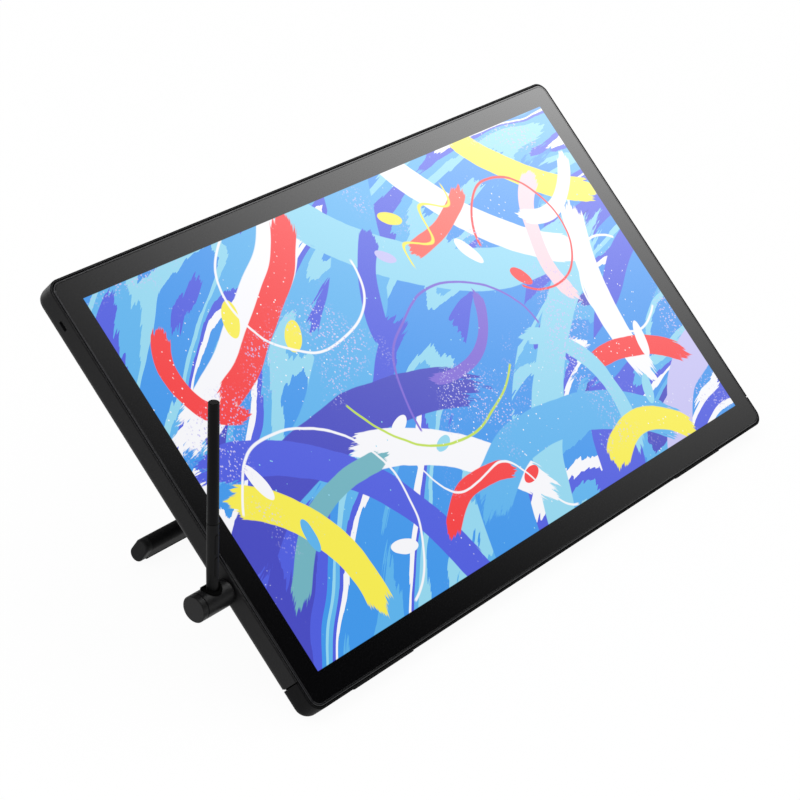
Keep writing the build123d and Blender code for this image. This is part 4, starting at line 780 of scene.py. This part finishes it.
# %% Turned nib
millimetres = 1000
nib_low, nib_high = (np.array(corner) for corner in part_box("pen_nib"))
nib_length = 0.026
nib_tip = (nib_low + nib_high) / 2 - pen_dir * nib_length / 2
heights, radii = np.array([
    (0.0, 0.10), (0.03, 0.28), (0.12, 0.47), (0.28, 0.64), (0.50, 0.75), (0.80, 0.80), (3.6, 0.80),
    (3.9, 0.60), (25.7, 0.60), (26.0, 0.45),
]).T[..., None] / millimetres
turn = around(24)
first_side = np.cross(pen_dir, out_of_glass)
first_side /= np.linalg.norm(first_side)
second_side = np.cross(pen_dir, first_side)
nib_grid = (
    nib_tip
    + heights[..., None] * pen_dir
    + (radii * np.cos(turn))[..., None] * first_side
    + (radii * np.sin(turn))[..., None] * second_side
)
nib = shell("turned_nib", [nib_grid], "nib", finishes["nib_grey"])
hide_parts("pen_nib")

# %% [markdown]
# ## The studio
# A pale floor under even soft light, at the level where a colour looks as it was mixed. The floor
# could be a brighter white only with more light, and that would bleach the object too. So the
# rays that see it directly or in a reflection get most of their white from the floor's own glow,
# and the rest is lit white, which keeps the object's shadow.

# %% Floor
floor_half = 12.0
floor_glow = 0.95
floor_corners = floor_half * np.array([[-1, -1, 0], [1, -1, 0], [1, 1, 0], [-1, 1, 0]])
floor_mesh = bpy.data.meshes.new("floor")
floor_mesh.from_pydata(floor_corners.tolist(), [], [[0, 1, 2, 3]])
floor = bpy.data.objects.new("floor", floor_mesh)
bpy.context.scene.collection.objects.link(floor)
floor_paint = Paint("floor_white", Roughness=0.9, Specular_IOR_Level=0.1)
speck = floor_paint.noise(floor_paint.place(), 40, 2)
floor_paint.set("Base Color", floor_paint.mix(speck, tint(white, 0.985), white))
seen = floor_paint.rays()
straight = seen["Is Camera Ray"] + seen["Is Glossy Ray"] + seen["Is Transmission Ray"]
plain_white = floor_paint.add("ShaderNodeEmission", None, {"Color": white, "Strength": 1.0})
lit = Field(floor_paint, floor_paint.shader.outputs[0])
mixed = {0: straight * floor_glow, 1: lit, 2: plain_white}
shown = floor_paint.add("ShaderNodeMixShader", None, mixed)
floor_end = floor_paint.tree.nodes["Material Output"].inputs["Surface"]
floor_paint.tree.links.new(shown.socket, floor_end)
floor.data.materials.append(floor_paint.material)
print("floor side", 2 * floor_half, "m")

# %% [markdown]
# The world is three things at once. For the camera it is plain white. For dull surfaces it is an
# even light. For gloss it is a dim room with a white backdrop low down and boxes of light in it,
# as in a product studio: a tall softbox on the right, which the glass shows as a fading sheen, one
# high on the left, one opposite the camera that the upward faces mirror, and a low strip behind
# the object for the edges of the stand. Each box is a direction: the nearer a ray comes to it, the
# nearer their dot product is to 1, and a smooth step of that is the box.

# %% World
world = bpy.data.worlds.new("studio")
bpy.context.scene.world = world
world.use_nodes = True


class Studio(Paint):
    """The world's node tree, whose shader is the background."""

    def __init__(self, tree):
        self.tree = tree
        self.shader = tree.nodes["Background"]
        self.way = self.add("ShaderNodeTexCoord", output="Generated")

    def box(self, direction, low, high, strength):
        """A box of light about a direction: 0 up to low and strength from high on."""
        return self.along(self.way, direction).step(low, high) * strength


sky = Studio(world.node_tree)
print("world shader", sky.shader.name)

# %% The softbox that fades across the glass
glow_from, glow_rate, glow_power, glow_most = 0.319, 9.07, 2.4, 9.0
fall_middle, fall_rate, fall_least = 1.12, 22.4, 0.1
glow = sky.along(sky.way, (0.728, 0.599, 0.332)) - glow_from
softbox = ((glow * glow_rate).at_least(0.0) ** glow_power).at_most(glow_most)
window = sky.box((0.71, -0.44, 0.55), 0.83, 0.92, 1.0)
sideways = sky.along(sky.way, (0.588, -0.055, -0.807))
spread = (fall_middle - sideways * sideways * fall_rate).at_least(fall_least)
print("softbox from", glow_from, "to", round(glow_from + glow_most ** (1 / glow_power) / glow_rate, 3))

# %% All the light
plain_level, room_level = 0.95, 0.02
backdrop = sky.box((0, 0, 1), 0.16, 0.04, 0.6)
left_box = sky.box((-0.62, -0.35, 0.70), 0.75, 0.95, 0.6)
far_box = sky.box((0.704, 0.566, 0.428), 0.93, 0.98, 0.7)
back_strip = sky.box((0.05, 0.99, 0.08), 0.9, 0.985, 5.0)
gloss = softbox * window * spread + backdrop + left_box + far_box + back_strip + room_level
kinds = sky.rays()
level = kinds["Is Glossy Ray"] * (gloss - plain_level) + plain_level
clear_view = kinds["Is Camera Ray"].at_least(kinds["Is Transmission Ray"])
sky.set("Color", white)
sky.set("Strength", clear_view * (1 - level) + level)
print("world nodes", len(sky.tree.nodes))

# %% [markdown]
# One weak square lamp high on the left gives the even light a direction.


# %% Lamps
def lamp(name, place, target, size, power):
    """A square area lamp that faces its target."""
    light = bpy.data.lights.new(name, "AREA")
    light.shape = "SQUARE"
    light.size = size
    light.energy = power
    made = bpy.data.objects.new(name, light)
    bpy.context.scene.collection.objects.link(made)
    made.location = place
    made.rotation_mode = "QUATERNION"
    made.rotation_quaternion = Vector(target - np.array(place)).to_track_quat("-Z", "Y")
    return made


key = lamp("key_lamp", place=(-1.1, -0.3, 1.9), target=slab_middle, size=0.9, power=5)
print("key lamp power", key.data.energy)

# %% [markdown]
# ## The camera
# The lit screen's four corners fix the camera: a long lens from the front left, looking down at the
# slab with no roll.

# %% Camera
view_data = bpy.data.cameras.new("view")
view_data.sensor_width = 36.0
view_data.lens = 105.955
view_data.clip_end = 100.0
camera = bpy.data.objects.new("view", view_data)
bpy.context.scene.collection.objects.link(camera)
to_left, to_below, to_front = 1.27122, 0.15228, 1.21164
camera.location = screen_middle - to_left * across - to_below * up_slab + to_front * out_of_glass
camera.rotation_mode = "QUATERNION"
forward = Vector((0.704326, 0.566388, -0.427937))
camera.rotation_quaternion = forward.to_track_quat("-Z", "Y")
bpy.context.scene.camera = camera
bpy.context.scene.view_settings.view_transform = "Standard"
print("camera at", tuple(round(c, 3) for c in camera.location))

bpy.context.view_layer.update()
